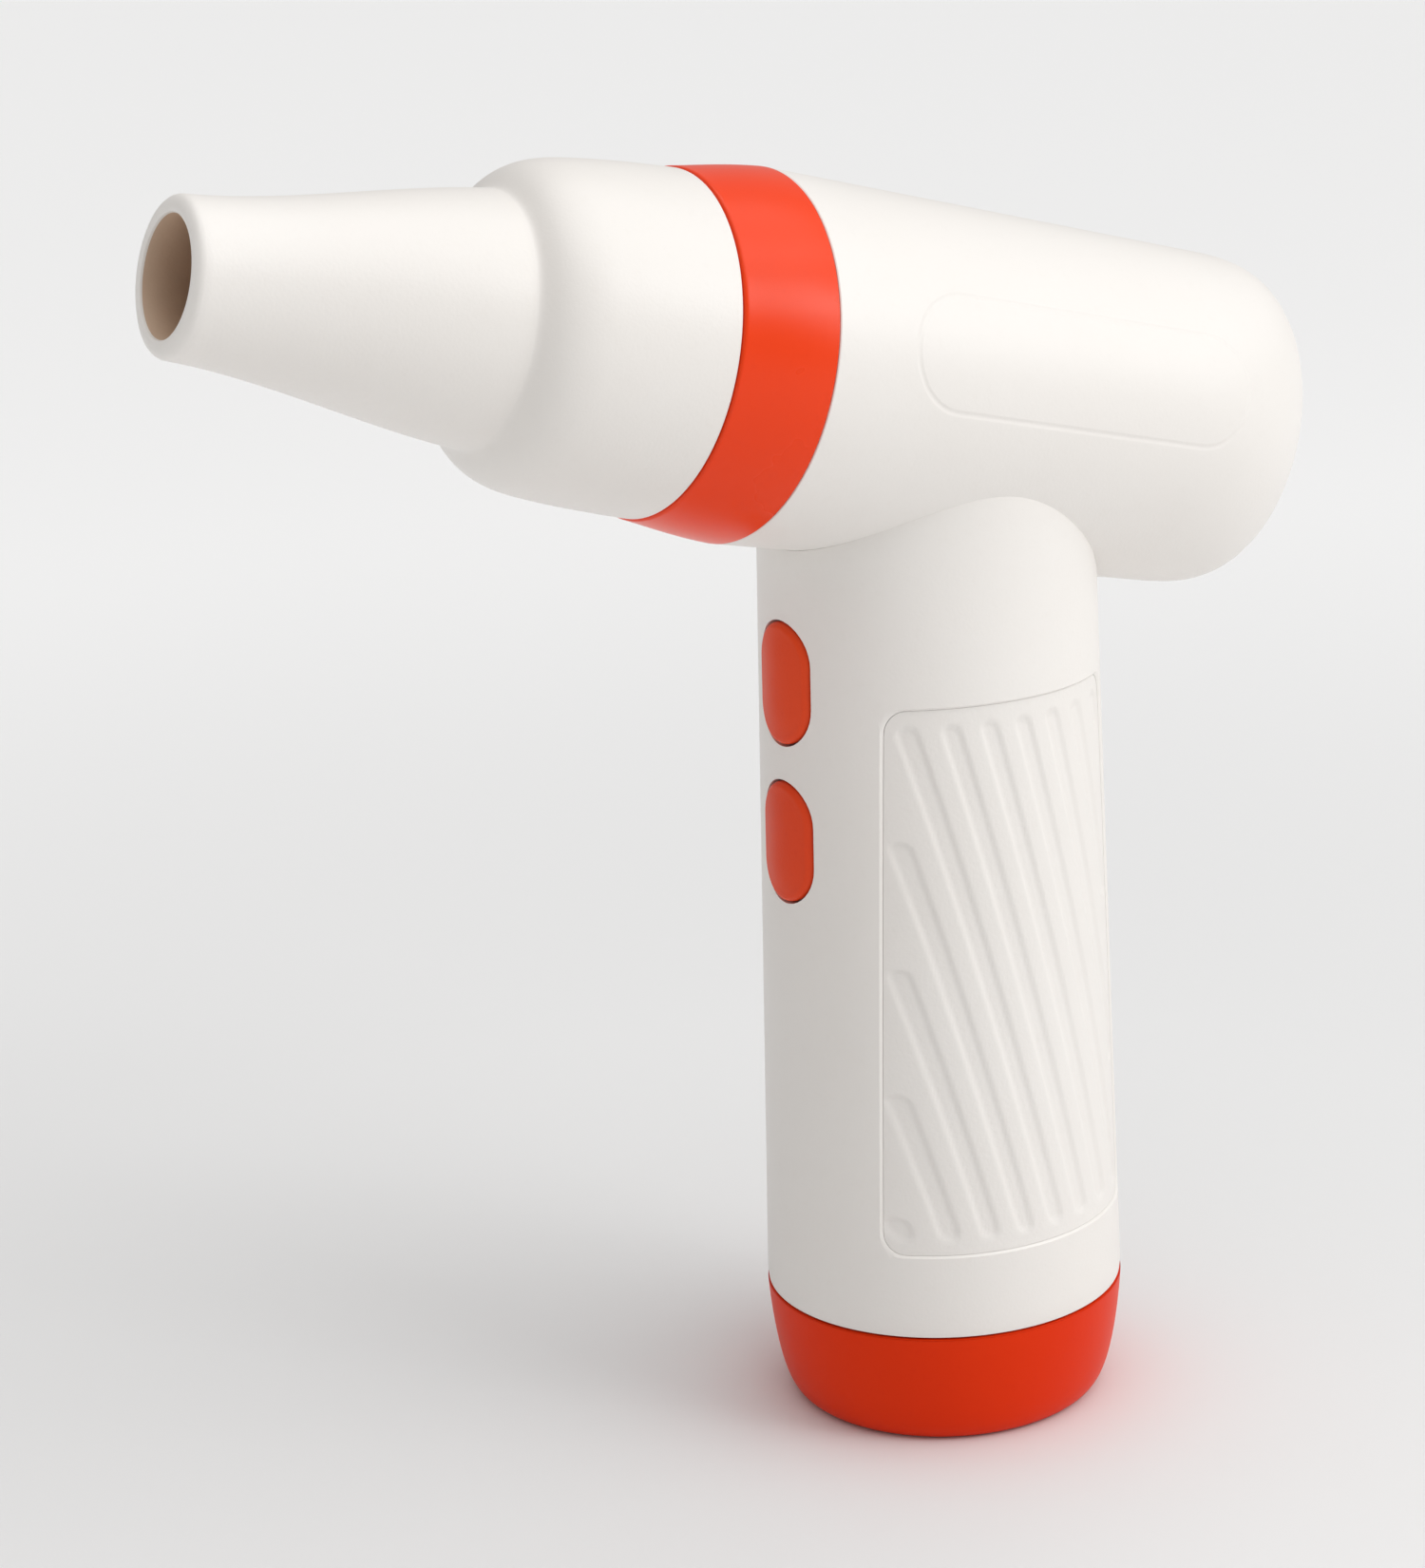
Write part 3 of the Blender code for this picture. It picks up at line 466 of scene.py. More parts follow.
def long_oval(half_width: float, half_length: float, steps: int = 20) -> Profile:
    """Outline of a slot with round ends, anticlockwise, as (across, lengthwise) points.

    Args:
        half_width: half its width.
        half_length: half its length.
        steps: stretches in each end.

    Returns:
        The outline round its centre.
    """
    straight = half_length - half_width
    points = []
    for centre, start in ((straight, 0.0), (-straight, math.pi)):
        for i in range(steps + 1):
            t = start + math.pi * i / steps
            points.append((half_width * math.cos(t), centre + half_width * math.sin(t)))
    return points


def ring_about_x(along: float, radius: float, sides: int) -> Ring:
    """A ring round the X axis."""
    return [(along, radius * math.cos(t), radius * math.sin(t)) for t in full_turn(sides)]


def skin(name: str, rings: Sequence[Ring], closed: bool = False, matrix: Matrix | None = None,
         strips: bool = False) -> bpy.types.Object:
    """A mesh of quads between rings, joined end to end if closed and capped if not.

    Args:
        name: the object's name.
        rings: rings of equal length.
        closed: whether the last ring joins the first.
        matrix: where the mesh is placed, which its vertices take on.
        strips: whether each end is a strip of quads, for a flat ring whose second half faces its first.

    Returns:
        The object, at the origin.
    """
    count = len(rings[0])
    points = [point for ring in rings for point in ring]
    faces = []
    total = len(rings)
    for k in range(total if closed else total - 1):
        first, second = k * count, (k + 1) % total * count
        faces += [(first + i, first + (i + 1) % count, second + (i + 1) % count, second + i)
                  for i in range(count)]
    if not closed:
        for start in (0, (total - 1) * count):
            last = start + count - 1
            if strips:
                faces += [(start + i, start + i + 1, last - i - 1, last - i) for i in range(count // 2 - 1)]
            else:
                faces.append(tuple(range(start, last + 1)))
    mesh = bpy.data.meshes.new(name)
    mesh.from_pydata(points, [], faces)
    bm = bmesh.new()
    bm.from_mesh(mesh)
    bmesh.ops.remove_doubles(bm, verts=bm.verts, dist=1e-7)
    bmesh.ops.recalc_face_normals(bm, faces=bm.faces)
    bm.to_mesh(mesh)
    bm.free()
    if matrix:
        mesh.transform(matrix)
    return linked(name, mesh)


def linked(name: str, data: bpy.types.ID) -> bpy.types.Object:
    """Links a mesh, a light or a camera to the scene as a new object.

    Args:
        name: the object's name.
        data: what it holds.

    Returns:
        The object.
    """
    made = bpy.data.objects.new(name, data)
    bpy.context.scene.collection.objects.link(made)
    return made


def frame_matrix(origin: Sequence[float], axes: tuple[Vector, Vector, Vector]) -> Matrix:
    """The matrix of a frame, from its origin and its unit axes."""
    return Matrix.Translation(Vector(origin)) @ Matrix(axes).transposed().to_4x4()


def applied(piece: bpy.types.Object) -> bpy.types.Object:
    """Turns a piece's modifiers into plain mesh.

    Args:
        piece: the piece.

    Returns:
        The same piece with a new mesh and no modifiers.
    """
    graph = bpy.context.evaluated_depsgraph_get()
    mesh = bpy.data.meshes.new_from_object(piece.evaluated_get(graph), depsgraph=graph)
    piece.modifiers.clear()
    piece.data = mesh
    return piece


def cut(piece: bpy.types.Object, *cutters: bpy.types.Object) -> bpy.types.Object:
    """Cuts shapes out of a piece and removes them.

    Args:
        piece: the piece.
        cutters: closed shapes.

    Returns:
        The piece.
    """
    for cutter in cutters:
        modifier = piece.modifiers.new("cut", "BOOLEAN")
        modifier.object = cutter
        modifier.solver = "EXACT"
    applied(piece)
    for cutter in cutters:
        bpy.data.objects.remove(cutter)
    return piece


def grown(piece: bpy.types.Object, tree: bpy.types.NodeTree, values: dict[str, object]) -> bpy.types.Object:
    """Runs a geometry tree on a piece and keeps the result as plain mesh.

    Args:
        piece: the piece that the tree starts from.
        tree: the geometry tree.
        values: a value for each named input.

    Returns:
        The piece.
    """
    modifier = piece.modifiers.new("grow", "NODES")
    modifier.node_group = tree
    for item in tree.interface.items_tree:
        if item.item_type == "SOCKET" and item.name in values:
            modifier[item.identifier] = values[item.name]
    return applied(piece)


def geometry_tree(name: str, sizes: dict[str, float | int], finish: bpy.types.Material | None = None
                  ) -> tuple[Graph, bpy.types.Node, Callable[[bpy.types.NodeSocket], None]]:
    """Starts a geometry tree with named inputs.

    Args:
        name: the tree's name.
        sizes: the named inputs and their values; whole numbers become integer inputs.
        finish: the material that everything made takes.

    Returns:
        The tree's builder, its input node, and a function that ends the tree with the given geometry.
    """
    tree = bpy.data.node_groups.new(name, "GeometryNodeTree")
    tree.interface.new_socket("Geometry", in_out="INPUT", socket_type="NodeSocketGeometry")
    for label, size in sizes.items():
        kind = "NodeSocketInt" if isinstance(size, int) else "NodeSocketFloat"
        tree.interface.new_socket(label, in_out="INPUT", socket_type=kind).default_value = size
    tree.interface.new_socket("Geometry", in_out="OUTPUT", socket_type="NodeSocketGeometry")
    graph = Graph(tree)
    entry = graph.node("NodeGroupInput")

    def close(geometry: bpy.types.NodeSocket) -> None:
        """Ends the tree.

        Args:
            geometry: what the tree made.
        """
        real = graph.node("GeometryNodeRealizeInstances", None, {0: geometry})
        dressed = graph.node("GeometryNodeSetMaterial", None, {0: real.outputs[0], 2: finish})
        graph.node("NodeGroupOutput", None, {0: dressed.outputs[0]})

    return graph, entry, close


def smooth(piece: bpy.types.Object, degrees: float = 32.0) -> bpy.types.Object:
    """Shades a piece smooth except across sharp edges.

    Args:
        piece: the piece.
        degrees: the angle from which an edge is sharp.

    Returns:
        The piece.
    """
    piece.data.shade_smooth()
    piece.data.set_sharp_from_angle(angle=math.radians(degrees))
    return piece


def fitted(piece: bpy.types.Object, body: str, slot: str, *nodes: str, finish: Finish | None = None) -> None:
    """Gives a piece its body and its finish, and hides the CAD nodes it stands for.

    Args:
        piece: the piece; a material it already has stays.
        body: the body it moves with.
        slot: the record's material slot.
        nodes: the CAD nodes it stands for.
        finish: its finish, where it isn't the slot's own.
    """
    if not piece.data.materials:
        piece.data.materials.append((finish or SLOT_FINISHES[slot]).material())
    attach(piece, body)
    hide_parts(*nodes)
    LOG.info("%s: %d faces on %s", piece.name, len(piece.data.polygons), body)


# ------------------------------------------------------------------ handle


@dataclass(frozen=True)
class GripShape:
    """The handle's outside: an oval that narrows upwards, and the barrel that rests on it."""

    seam: float = 15.5 * MM
    rise: float = 81.0 * MM
    depth: tuple[float, float] = (23.74 * MM, 22.52 * MM)
    width: tuple[float, float] = (23.0 * MM, 19.86 * MM)
    wall: float = 2.4 * MM
    panel_low: float = 26.5 * MM
    panel_high: float = 97.4 * MM
    panel_edge: float = 13.2 * MM
    panel_corner: float = 3.0 * MM
    key_half_width: float = 5.1 * MM
    key_half_height: float = 7.7 * MM

    def halves(self, height: float, inset: float = 0.0) -> tuple[float, float]:
        """Half depth and half width.

        Args:
            height: how high.
            inset: what is taken off all round.

        Returns:
            Half depth along X and half width along Y.
        """
        share = (height - self.seam) / self.rise
        depth = self.depth[0] + (self.depth[1] - self.depth[0]) * share
        width = self.width[0] + (self.width[1] - self.width[0]) * share
        return depth - inset, width - inset

    def point(self, turn: float, height: float, inset: float = 0.0) -> Point:
        """A point on the outside, or an inset below it, at an angle from +X towards +Y."""
        half_x, half_y = self.halves(height, inset)
        return half_x * math.cos(turn), half_y * math.sin(turn), height

    def plate(self, name: str, side: int, depths: tuple[float, float], shrinks: tuple[float, float],
              across: int, up: int) -> bpy.types.Object:
        """A plate that follows one side of the handle, with four rounded corners.

        Args:
            name: its name.
            side: -1 or 1, for the side along Y.
            depths: how far its outer and inner faces lie below the handle's surface.
            shrinks: what is taken off the outer and inner faces' outlines all round.
            across: faces across it.
            up: faces up it.

        Returns:
            The plate.
        """
        outer = self._face(side, depths[0], shrinks[0], across, up)
        inner = self._face(side, depths[1], shrinks[1], across, up)
        return skin(name, [near + far[::-1] for near, far in zip(outer, inner)], strips=True)

    def _face(self, side: int, depth: float, shrink: float, across: int, up: int) -> list[Ring]:
        """Rows of points over one face of a plate.

        Args:
            side: -1 or 1, for the side along Y.
            depth: how far below the handle's surface it lies.
            shrink: what is taken off its outline all round.
            across: faces across it.
            up: faces up it.

        Returns:
            The rows from the bottom up.
        """
        low, high = self.panel_low + shrink, self.panel_high - shrink
        corner, edge = self.panel_corner, self.panel_edge + shrink
        ease = [corner * (1 - math.cos(math.pi / 2 * i / 10)) for i in range(10)]
        middle = [low + corner + (high - low - 2 * corner) * i / up for i in range(up + 1)]
        rows = []
        for height in [low + e for e in ease] + middle + [high - e for e in reversed(ease)]:
            drop = max(corner - (height - low), corner - (high - height), 0.0)
            inset = corner - math.sqrt(max(corner ** 2 - drop ** 2, 0.0))
            outer_x, outer_y = self.halves(height)
            reach = math.acos(edge / outer_y) - inset / outer_x
            turns = [-reach + 2 * reach * i / across for i in range(across + 1)]
            half_x, half_y = self.halves(height, depth)
            rows.append([(half_x * math.sin(t), side * half_y * math.cos(t), height) for t in turns])
        return rows


@dataclass
class Handle:
    """The handle's tube, with its windows for the keys and its pockets for the grip panels."""

    shape: GripShape
    barrel: Barrel
    sides: int = 240
    rows: int = 90
    edge: float = 0.3 * MM
    overlap: float = 1.0 * MM
    panel_lip: float = 0.3 * MM
    pocket_depth: float = 1.5 * MM
    pocket_shrink: float = 0.26 * MM

    def build(self) -> None:
        """Makes the handle's tube."""
        bottom = self.shape.seam + SEAM_GAP
        steps = [i / self.rows for i in range(self.rows + 1)]
        turns = full_turn(self.sides)
        rings = [[self._outside(turn, bottom, step) for turn in turns] for step in steps]
        rings += [[self._inside(turn, bottom, step) for turn in turns] for step in reversed(steps)]
        shell = skin("handle_tube", rings, closed=True)
        cutters = [self._window(height) for height in key_heights().values()]
        slope = (-self.overlap, self.panel_lip)
        pocket = (-self.overlap, self.pocket_depth)
        shrinks = (self.pocket_shrink, self.pocket_shrink)
        for side in (-1, 1):
            cutters.append(self.shape.plate("slope", side, slope, slope, 80, 40))
            cutters.append(self.shape.plate("pocket", side, pocket, shrinks, 80, 40))
        cut(shell, *cutters)
        fitted(smooth(shell), "main_unit", "warm_white_plastic", "handle_shell")

    def _outside(self, turn: float, bottom: float, step: float) -> Point:
        """A point of the outside, whose top follows the barrel and whose foot is eased.

        Args:
            turn: its angle.
            bottom: the tube's foot.
            step: 0 at the foot, 1 at the barrel.

        Returns:
            The point.
        """
        top = self.barrel.belly(self.shape, turn)
        height = bottom + (top - bottom) * step
        low = max(1 - (height - bottom) / self.edge, 0.0)
        high = max(1 - (top - height) / self.edge, 0.0)
        ease = self.edge * 0.5 * (1 - math.sqrt(max(1 - max(low, high) ** 2, 0.0)))
        return self.shape.point(turn, height, ease)

    def _inside(self, turn: float, bottom: float, step: float) -> Point:
        """A point of the bore, with its step 0 at the foot and 1 at the barrel."""
        top = self.barrel.belly(self.shape, turn)
        return self.shape.point(turn, bottom + (top - bottom) * step, self.shape.wall)

    def _window(self, height: float) -> bpy.types.Object:
        """A cutter for the window of the key at a height."""
        outline = long_oval(self.shape.key_half_width + SEAM_GAP, self.shape.key_half_height + SEAM_GAP)
        return skin("window", [[(x, y, height + z) for y, z in outline] for x in (-27 * MM, -15 * MM)])


def key_heights() -> dict[str, float]:
    """The middle height of each key, from its CAD box.

    Returns:
        Key name to height.
    """
    found = {}
    for key in ("power", "mode"):
        low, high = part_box(f"{key}_button")
        found[key] = (low.z + high.z) / 2
    return found


@dataclass
class GripPanels:
    """The two plates let into the handle's sides, with slanted grooves."""

    shape: GripShape
    set_back: float = 0.3 * MM
    thickness: float = 0.9 * MM
    shrink: float = 0.3 * MM
    pitch: float = 4.75 * MM
    slope: float = 0.251
    groove: float = 1.25 * MM
    depth: float = 0.27 * MM
    first: float = -14.5 * MM
    top: float = 95.2 * MM
    bottom: float = 28.5 * MM
    margin: float = 15.06 * MM
    spread: float = 0.040

    def tree(self) -> bpy.types.NodeTree:
        """The geometry tree that presses the grooves into a plate's outer face.

        Returns:
            The tree.
        """
        sizes = {"Pitch": self.pitch, "Slope": self.slope, "Half Width": self.groove, "Depth": self.depth,
                 "First": self.first, "Top": self.top, "Bottom": self.bottom, "Margin": self.margin,
                 "Spread": self.spread}
        graph, entry, close = geometry_tree("slanted_grooves", sizes, GRIP_WHITE.material())
        inputs = (Value(graph, entry.outputs[k]) for k in sizes)
        pitch, slope, half, depth, first, top, bottom, margin, spread = inputs
        place = graph.node("GeometryNodeInputPosition").outputs[0]
        spot = graph.node("ShaderNodeSeparateXYZ", None, {0: place})
        along, height = Value(graph, spot.outputs[0]), Value(graph, spot.outputs[2])
        count = (along - first - slope * (top - height)) / pitch
        index = graph.math("ROUND", count)
        start = first + index * pitch
        lean = 1 / math.sqrt(1 + self.slope ** 2)
        across = graph.math("ABSOLUTE", (count - index) * pitch * lean)
        highest = top.least(top - (0.0 - margin - start) / (slope + spread)) - half
        lowest = bottom.most(top - (margin - start) / (slope - spread)) + half
        beyond = (height - highest).most(lowest - height).most(0.0)
        distance = graph.math("SQRT", across * across + beyond * beyond)
        inside = 1 - distance.eased(0.62 * self.groove, 1.0 * self.groove)
        exists = graph.math("GREATER_THAN", highest, lowest)
        facing = graph.node("GeometryNodeInputNormal").outputs[0]
        push = graph.node("ShaderNodeVectorMath", {"operation": "SCALE"},
                          {0: facing, 3: inside * exists * (0.0 - depth)})
        outer = graph.math("GREATER_THAN", self._outwards(graph, facing, place), 0.5)
        moved = graph.node("GeometryNodeSetPosition", None,
                           {0: entry.outputs["Geometry"], 1: outer.socket, 3: push.outputs[0]})
        close(moved.outputs[0])
        return graph.tree

    @staticmethod
    def _outwards(graph: Graph, facing: bpy.types.NodeSocket, place: bpy.types.NodeSocket) -> Value:
        """How far a face points away from the handle's middle, up to 1 for straight away along Y."""
        normal_y, place_y = (Value(graph, graph.node("ShaderNodeSeparateXYZ", None, {0: vector}).outputs[1])
                             for vector in (facing, place))
        return normal_y * graph.math("SIGN", place_y)

    def build(self) -> None:
        """Makes both panels."""
        tree = self.tree()
        for name, side in (("grip_panel_left", -1), ("grip_panel_right", 1)):
            far = self.set_back + self.thickness
            shrinks = (self.shrink, self.shrink)
            plate = self.shape.plate(f"{name}_moulding", side, (self.set_back, far), shrinks, 110, 220)
            grown(plate, tree, {"Depth": self.depth})
            fitted(smooth(plate, 50), "main_unit", "grip_plastic", name)


@dataclass
class Keys:
    """The two keys in the front of the grip: rounded ovals with a shallow crown."""

    shape: GripShape
    crown: float = 0.9 * MM
    back: float = 4.7 * MM
    flange: float = 0.9 * MM
    flange_shares: tuple[float, float] = (1.12, 1.08)
    softness: float = 0.85 * MM
    sink: float = 0.35 * MM

    def build(self) -> None:
        """Makes each key on its own body."""
        for key, height in key_heights().items():
            piece = skin(f"{key}_key", self._rings(height))
            fitted(smooth(piece, 60), f"{key}_key", "orange_plastic", f"{key}_button", finish=KEY_ORANGE)

    def _rings(self, height: float) -> list[Ring]:
        """Rings of one key from its flange to its crown.

        Args:
            height: the key's middle.

        Returns:
            The rings.
        """
        half_width, half_height = self.shape.key_half_width, self.shape.key_half_height
        outline = long_oval(half_width, half_height, 36)
        wide = long_oval(half_width * self.flange_shares[0], half_height * self.flange_shares[1], 36)
        back = self.back - self.shape.halves(height)[0]
        front = back - self.flange
        rings = [[(x, y, height + z) for y, z in shape]
                 for x, shape in ((back, wide), (front, wide), (front, outline))]
        for i in range(9):
            turn = math.pi / 2 * i / 8
            inset, lift = self.softness * (1 - math.cos(turn)), self.softness * math.sin(turn) - self.sink
            rings.append(self._surface(height, inset, lift))
        for i in range(1, 16):
            share = i / 15
            inset = self.softness + (half_width - self.softness) * share * 0.999
            edge = self.softness - self.sink
            lift = edge + (self.crown - edge) * math.sin(share * math.pi / 2) ** 1.2
            rings.append(self._surface(height, inset, lift))
        return rings

    def _surface(self, height: float, inset: float, lift: float) -> Ring:
        """A ring on the key's face, parallel to its outline.

        Args:
            height: the key's middle.
            inset: how far inside the outline.
            lift: how far proud of the grip.

        Returns:
            The ring.
        """
        ring = []
        outline = long_oval(self.shape.key_half_width - inset, self.shape.key_half_height - inset, 36)
        for y, z in outline:
            half_x, half_y = self.shape.halves(height + z)
            ring.append((-half_x * math.sqrt(1 - (y / half_y) ** 2) - lift, y, height + z))
        return ring


@dataclass
class BaseCap:
    """The cap under the grip, with the charging inlet and the charge light behind."""

    shape: GripShape
    base_share: float = 0.777
    side_power: float = 1.243
    edge_power: float = 3.115
    wall: float = 2.6 * MM
    floor: float = 2.4 * MM
    rim_height: float = 6 * MM
    rim_wall: float = 1.4 * MM
    port_height: float = 11.5 * MM
    port_halves: tuple[float, float] = (1.95 * MM, 4.9 * MM)
    light_offset: float = 9 * MM
    light_radius: float = 1.3 * MM
    opening_reach: tuple[float, float] = (16 * MM, 27 * MM)
    sides: int = 200

    def _share(self, drop: float) -> float:
        """The outline's size at a drop below the seam, as a share of the seam's."""
        turn = math.asin(min(drop / self.shape.seam, 1.0) ** (self.side_power / 2))
        return self.base_share + (1 - self.base_share) * max(math.cos(turn), 0.0) ** (2 / self.edge_power)

    def _ring(self, height: float, share: float, inset: float = 0.0) -> Ring:
        """One ring of the cap, sized as a share of the seam's outline less an inset."""
        half_x, half_y = self.shape.depth[0] * share - inset, self.shape.width[0] * share - inset
        return [(half_x * math.cos(t), half_y * math.sin(t), height) for t in full_turn(self.sides)]

    def build(self) -> None:
        """Makes the cap."""
        seam = self.shape.seam
        rings = [self._ring(0.0, self.base_share * k) for k in (0.5, 0.9)]
        steps = 44
        for i in range(steps + 1):
            drop = seam * math.cos(math.pi / 2 * i / steps) ** 1.6
            rings.append(self._ring(seam - drop, self._share(drop)))
        rings.insert(-1, self._ring(seam - 0.25 * MM, self._share(0.25 * MM)))
        rings[-1] = self._ring(seam, 1.0, 0.12 * MM)
        inset = self.shape.wall + SEAM_GAP
        top = seam + self.rim_height
        for height, more in ((seam, 0.0), (top, 0.0), (top, self.rim_wall)):
            rings.append([self.shape.point(turn, height, inset + more) for turn in full_turn(self.sides)])
        for height in (15 * MM, 11 * MM, 8 * MM, 5 * MM, self.floor):
            rings.append(self._ring(height, self._share(seam - height), self.wall))
        cap = skin("base_cap", rings)
        port = [(y, self.port_height + z) for z, y in long_oval(*self.port_halves)]
        light = circle((self.light_offset, self.port_height), self.light_radius, 32)
        cutters = [skin("opening", [[(x, y, z) for y, z in outline] for x in self.opening_reach])
                   for outline in (port, light)]
        cut(cap, *cutters)
        fitted(smooth(cap), "main_unit", "orange_plastic", "bottom_cap", finish=CAP_ORANGE)


# ------------------------------------------------------------------ barrel


@dataclass
class Barrel:
    """The fan's housing: a slightly tapered tube with a soft tail, slots and an engraved oval on each side."""

    matrix: Matrix
    front: float = -28.3 * MM
    radius: float = 22.5 * MM
    draft: float = 0.014
    wall: float = 2.0 * MM
    tail: float = 56.2 * MM
    plan_start: float = 27.7 * MM
    side_start: float = 38.0 * MM
    line_middle: float = 9.0 * MM
    line_half_length: float = 26.5 * MM
    line_half_width: float = 7.5 * MM
    line_lift: float = math.radians(11.3)
    line_depth: float = 0.10 * MM
    line_edge: float = 0.45 * MM
    saddle_gap: float = 0.07 * MM
    front_ease: float = 0.12 * MM
    slot_count: int = 7
    slot_pitch: float = 4.9 * MM
    slot_halves: tuple[float, float] = (1.0 * MM, 10.4 * MM)
    slot_reach: tuple[float, float] = (44.6 * MM, 60 * MM)
    neck_foot: float = 88 * MM
    neck_wall: float = 1.6 * MM

    def outline_radius(self, along: float) -> float:
        """The tapered tube's radius at a place on the axis."""
        return self.radius - self.draft * (along - self.front)

    def halves(self, along: float, inset: float = 0.0) -> tuple[float, float]:
        """Half width and half height, which close in towards the tail.

        Args:
            along: the place on the axis.
            inset: what is taken off all round.

        Returns:
            Half width and half height.
        """
        end = self.tail - inset * 1.15
        radius = self.outline_radius(along) - inset
        plan = min(max((along - self.plan_start) / (end - self.plan_start), 0.0), 1.0)
        side = min(max((along - self.side_start) / (end - self.side_start), 0.0), 1.0)
        return (radius * (1 - plan ** 2.2) ** (1 / 2.2), radius * (1 - side ** 3.0) ** (1 / 2.18))

    def belly(self, shape: GripShape, turn: float, inset: float = 0.0) -> float:
        """The height at which the handle's outside meets the barrel's underside.

        Args:
            shape: the handle's outside.
            turn: the angle round the handle.
            inset: how far inside the handle's surface.

        Returns:
            The height, less a seam's gap.
        """
        inverse = self.matrix.inverted()
        height = 110 * MM
        for _ in range(5):
            half_x, half_y = shape.halves(height, inset)
            x, y = half_x * math.cos(turn), half_y * math.sin(turn)
            along = (inverse @ Vector((x, y, height))).x
            reach = self.outline_radius(along) + self.saddle_gap
            drop = -math.sqrt(max(reach ** 2 - y ** 2, 0.0))
            height = (self.matrix @ Vector((along, y, drop))).z
        return height

    def _turns(self) -> list[float]:
        """Angles round the axis, closest together where the engraved lines are."""
        turns = []
        for start, end, count in ((-9, 32, 160), (32, 148, 40), (148, 189, 160), (189, 351, 54)):
            turns += [math.radians(start + (end - start) * i / count) for i in range(count)]
        return turns

    def _stations(self) -> list[float]:
        """Places on the axis, closest together at the engraved ovals' ends and the tail."""
        ends = [self.line_middle - self.line_half_length - 0.6 * MM, self.line_middle + self.line_half_length]
        span = self.line_half_width + 0.8 * MM
        stations = [self.front, self.front + self.front_ease, self.front + 3 * MM, self.front + 7 * MM]
        stations += [ends[0] + span * i / 54 for i in range(55)]
        first, last = stations[-1], ends[1] - self.line_half_width - 0.2 * MM
        stations += [first + (last - first) * i / 14 for i in range(1, 14)]
        stations += [last + span * i / 54 for i in range(55)]
        start = stations[-1]
        span = self.tail - 0.004 * MM - start
        stations += [start + span * math.sin(math.pi / 2 * i / 40) for i in range(1, 41)]
        return stations

    def _line(self, along: float, turn: float) -> float:
        """How deep the engraved line is at a point.

        Args:
            along: the place on the axis.
            turn: the angle round it, from +Y towards +Z.

        Returns:
            The depth.
        """
        lift = math.asin(math.sin(turn))
        side = self.outline_radius(along) * (lift - self.line_lift)
        straight = self.line_half_length - self.line_half_width
        away = math.hypot(max(abs(along - self.line_middle) - straight, 0.0), side) - self.line_half_width
        share = min(abs(away + self.line_edge) / self.line_edge, 1.0)
        return self.line_depth * (1 - share * share) ** 2

    def _rings(self) -> list[Ring]:
        """Rings of the shell: along its inside from the tail, then back along its outside."""
        turns = self._turns()
        end = self.tail - self.wall * 1.15 - 0.05 * MM
        inner = [self.front, 0.0, self.plan_start] + [
            self.plan_start + (end - self.plan_start) * math.sin(math.pi / 2 * i / 12) for i in range(1, 13)]
        rings = []
        for along in reversed(inner):
            half_y, half_z = self.halves(along, self.wall)
            rings.append([(along, half_y * math.cos(t), half_z * math.sin(t)) for t in turns])
        for k, along in enumerate(self._stations()):
            half_y, half_z = self.halves(along)
            ring = []
            for t in turns:
                share = 1 - (self._line(along, t) + (self.front_ease if k == 0 else 0.0)) / self.radius
                ring.append((along, half_y * share * math.cos(t), half_z * share * math.sin(t)))
            rings.append(ring)
        return rings

    def _slots(self) -> bpy.types.Object:
        """The cutter for the intake slots: one rounded slot, repeated up the tail."""
        sizes = {"Count": self.slot_count, "Pitch": self.slot_pitch}
        graph, entry, close = geometry_tree("slot_stack", sizes)
        count, pitch = Value(graph, entry.outputs["Count"]), Value(graph, entry.outputs["Pitch"])
        offset = graph.node("ShaderNodeCombineXYZ", None, {2: pitch})
        start = graph.node("ShaderNodeCombineXYZ", None, {2: (count - 1) * pitch * -0.5})
        line = graph.node("GeometryNodeMeshLine", None,
                          {"Count": count, "Start Location": start.outputs[0], "Offset": offset.outputs[0]})
        copies = graph.node("GeometryNodeInstanceOnPoints", None,
                            {"Points": line.outputs[0], "Instance": entry.outputs["Geometry"]})
        close(copies.outputs[0])
        outline = long_oval(*self.slot_halves, 12)
        slot = skin("slots", [[(x, y, z) for z, y in outline] for x in self.slot_reach])
        grown(slot, graph.tree, {"Count": self.slot_count})
        slot.data.transform(self.matrix)
        return slot

    def build(self, shape: GripShape) -> None:
        """Makes the barrel and the neck under it.

        Args:
            shape: the handle's outside, which the neck fits.
        """
        shell = skin("barrel_moulding", self._rings(), matrix=self.matrix)
        cut(shell, self._slots())
        fitted(smooth(shell, 28), "main_unit", "warm_white_plastic", "barrel_housing")
        neck = skin("neck_tube", self._neck(shape), closed=True)
        window = ((-27, -9.5), (-10.4, -9.5), (-10.4, 9.5), (-27, 9.5))
        opening = skin("neck_window", [[(x * MM, y * MM, z * MM) for x, y in window] for z in (86, 106)])
        cut(neck, opening)
        fitted(smooth(neck), "main_unit", "warm_white_plastic", "barrel_housing")

    def _neck(self, shape: GripShape) -> list[Ring]:
        """Rings of the neck inside the handle.

        Args:
            shape: the handle's outside.

        Returns:
            The rings.
        """
        sides, low = 96, self.neck_foot
        rings = []
        outer, inner = shape.wall + SEAM_GAP, shape.wall + SEAM_GAP + self.neck_wall
        for inset, steps in ((outer, (0.0, 0.5, 1.0)), (inner, (1.0, 0.5, 0.0))):
            for step in steps:
                ring = []
                for turn in full_turn(sides):
                    top = self.belly(shape, turn, inset)
                    ring.append(shape.point(turn, low + (top - low) * step, inset))
                rings.append(ring)
        return rings


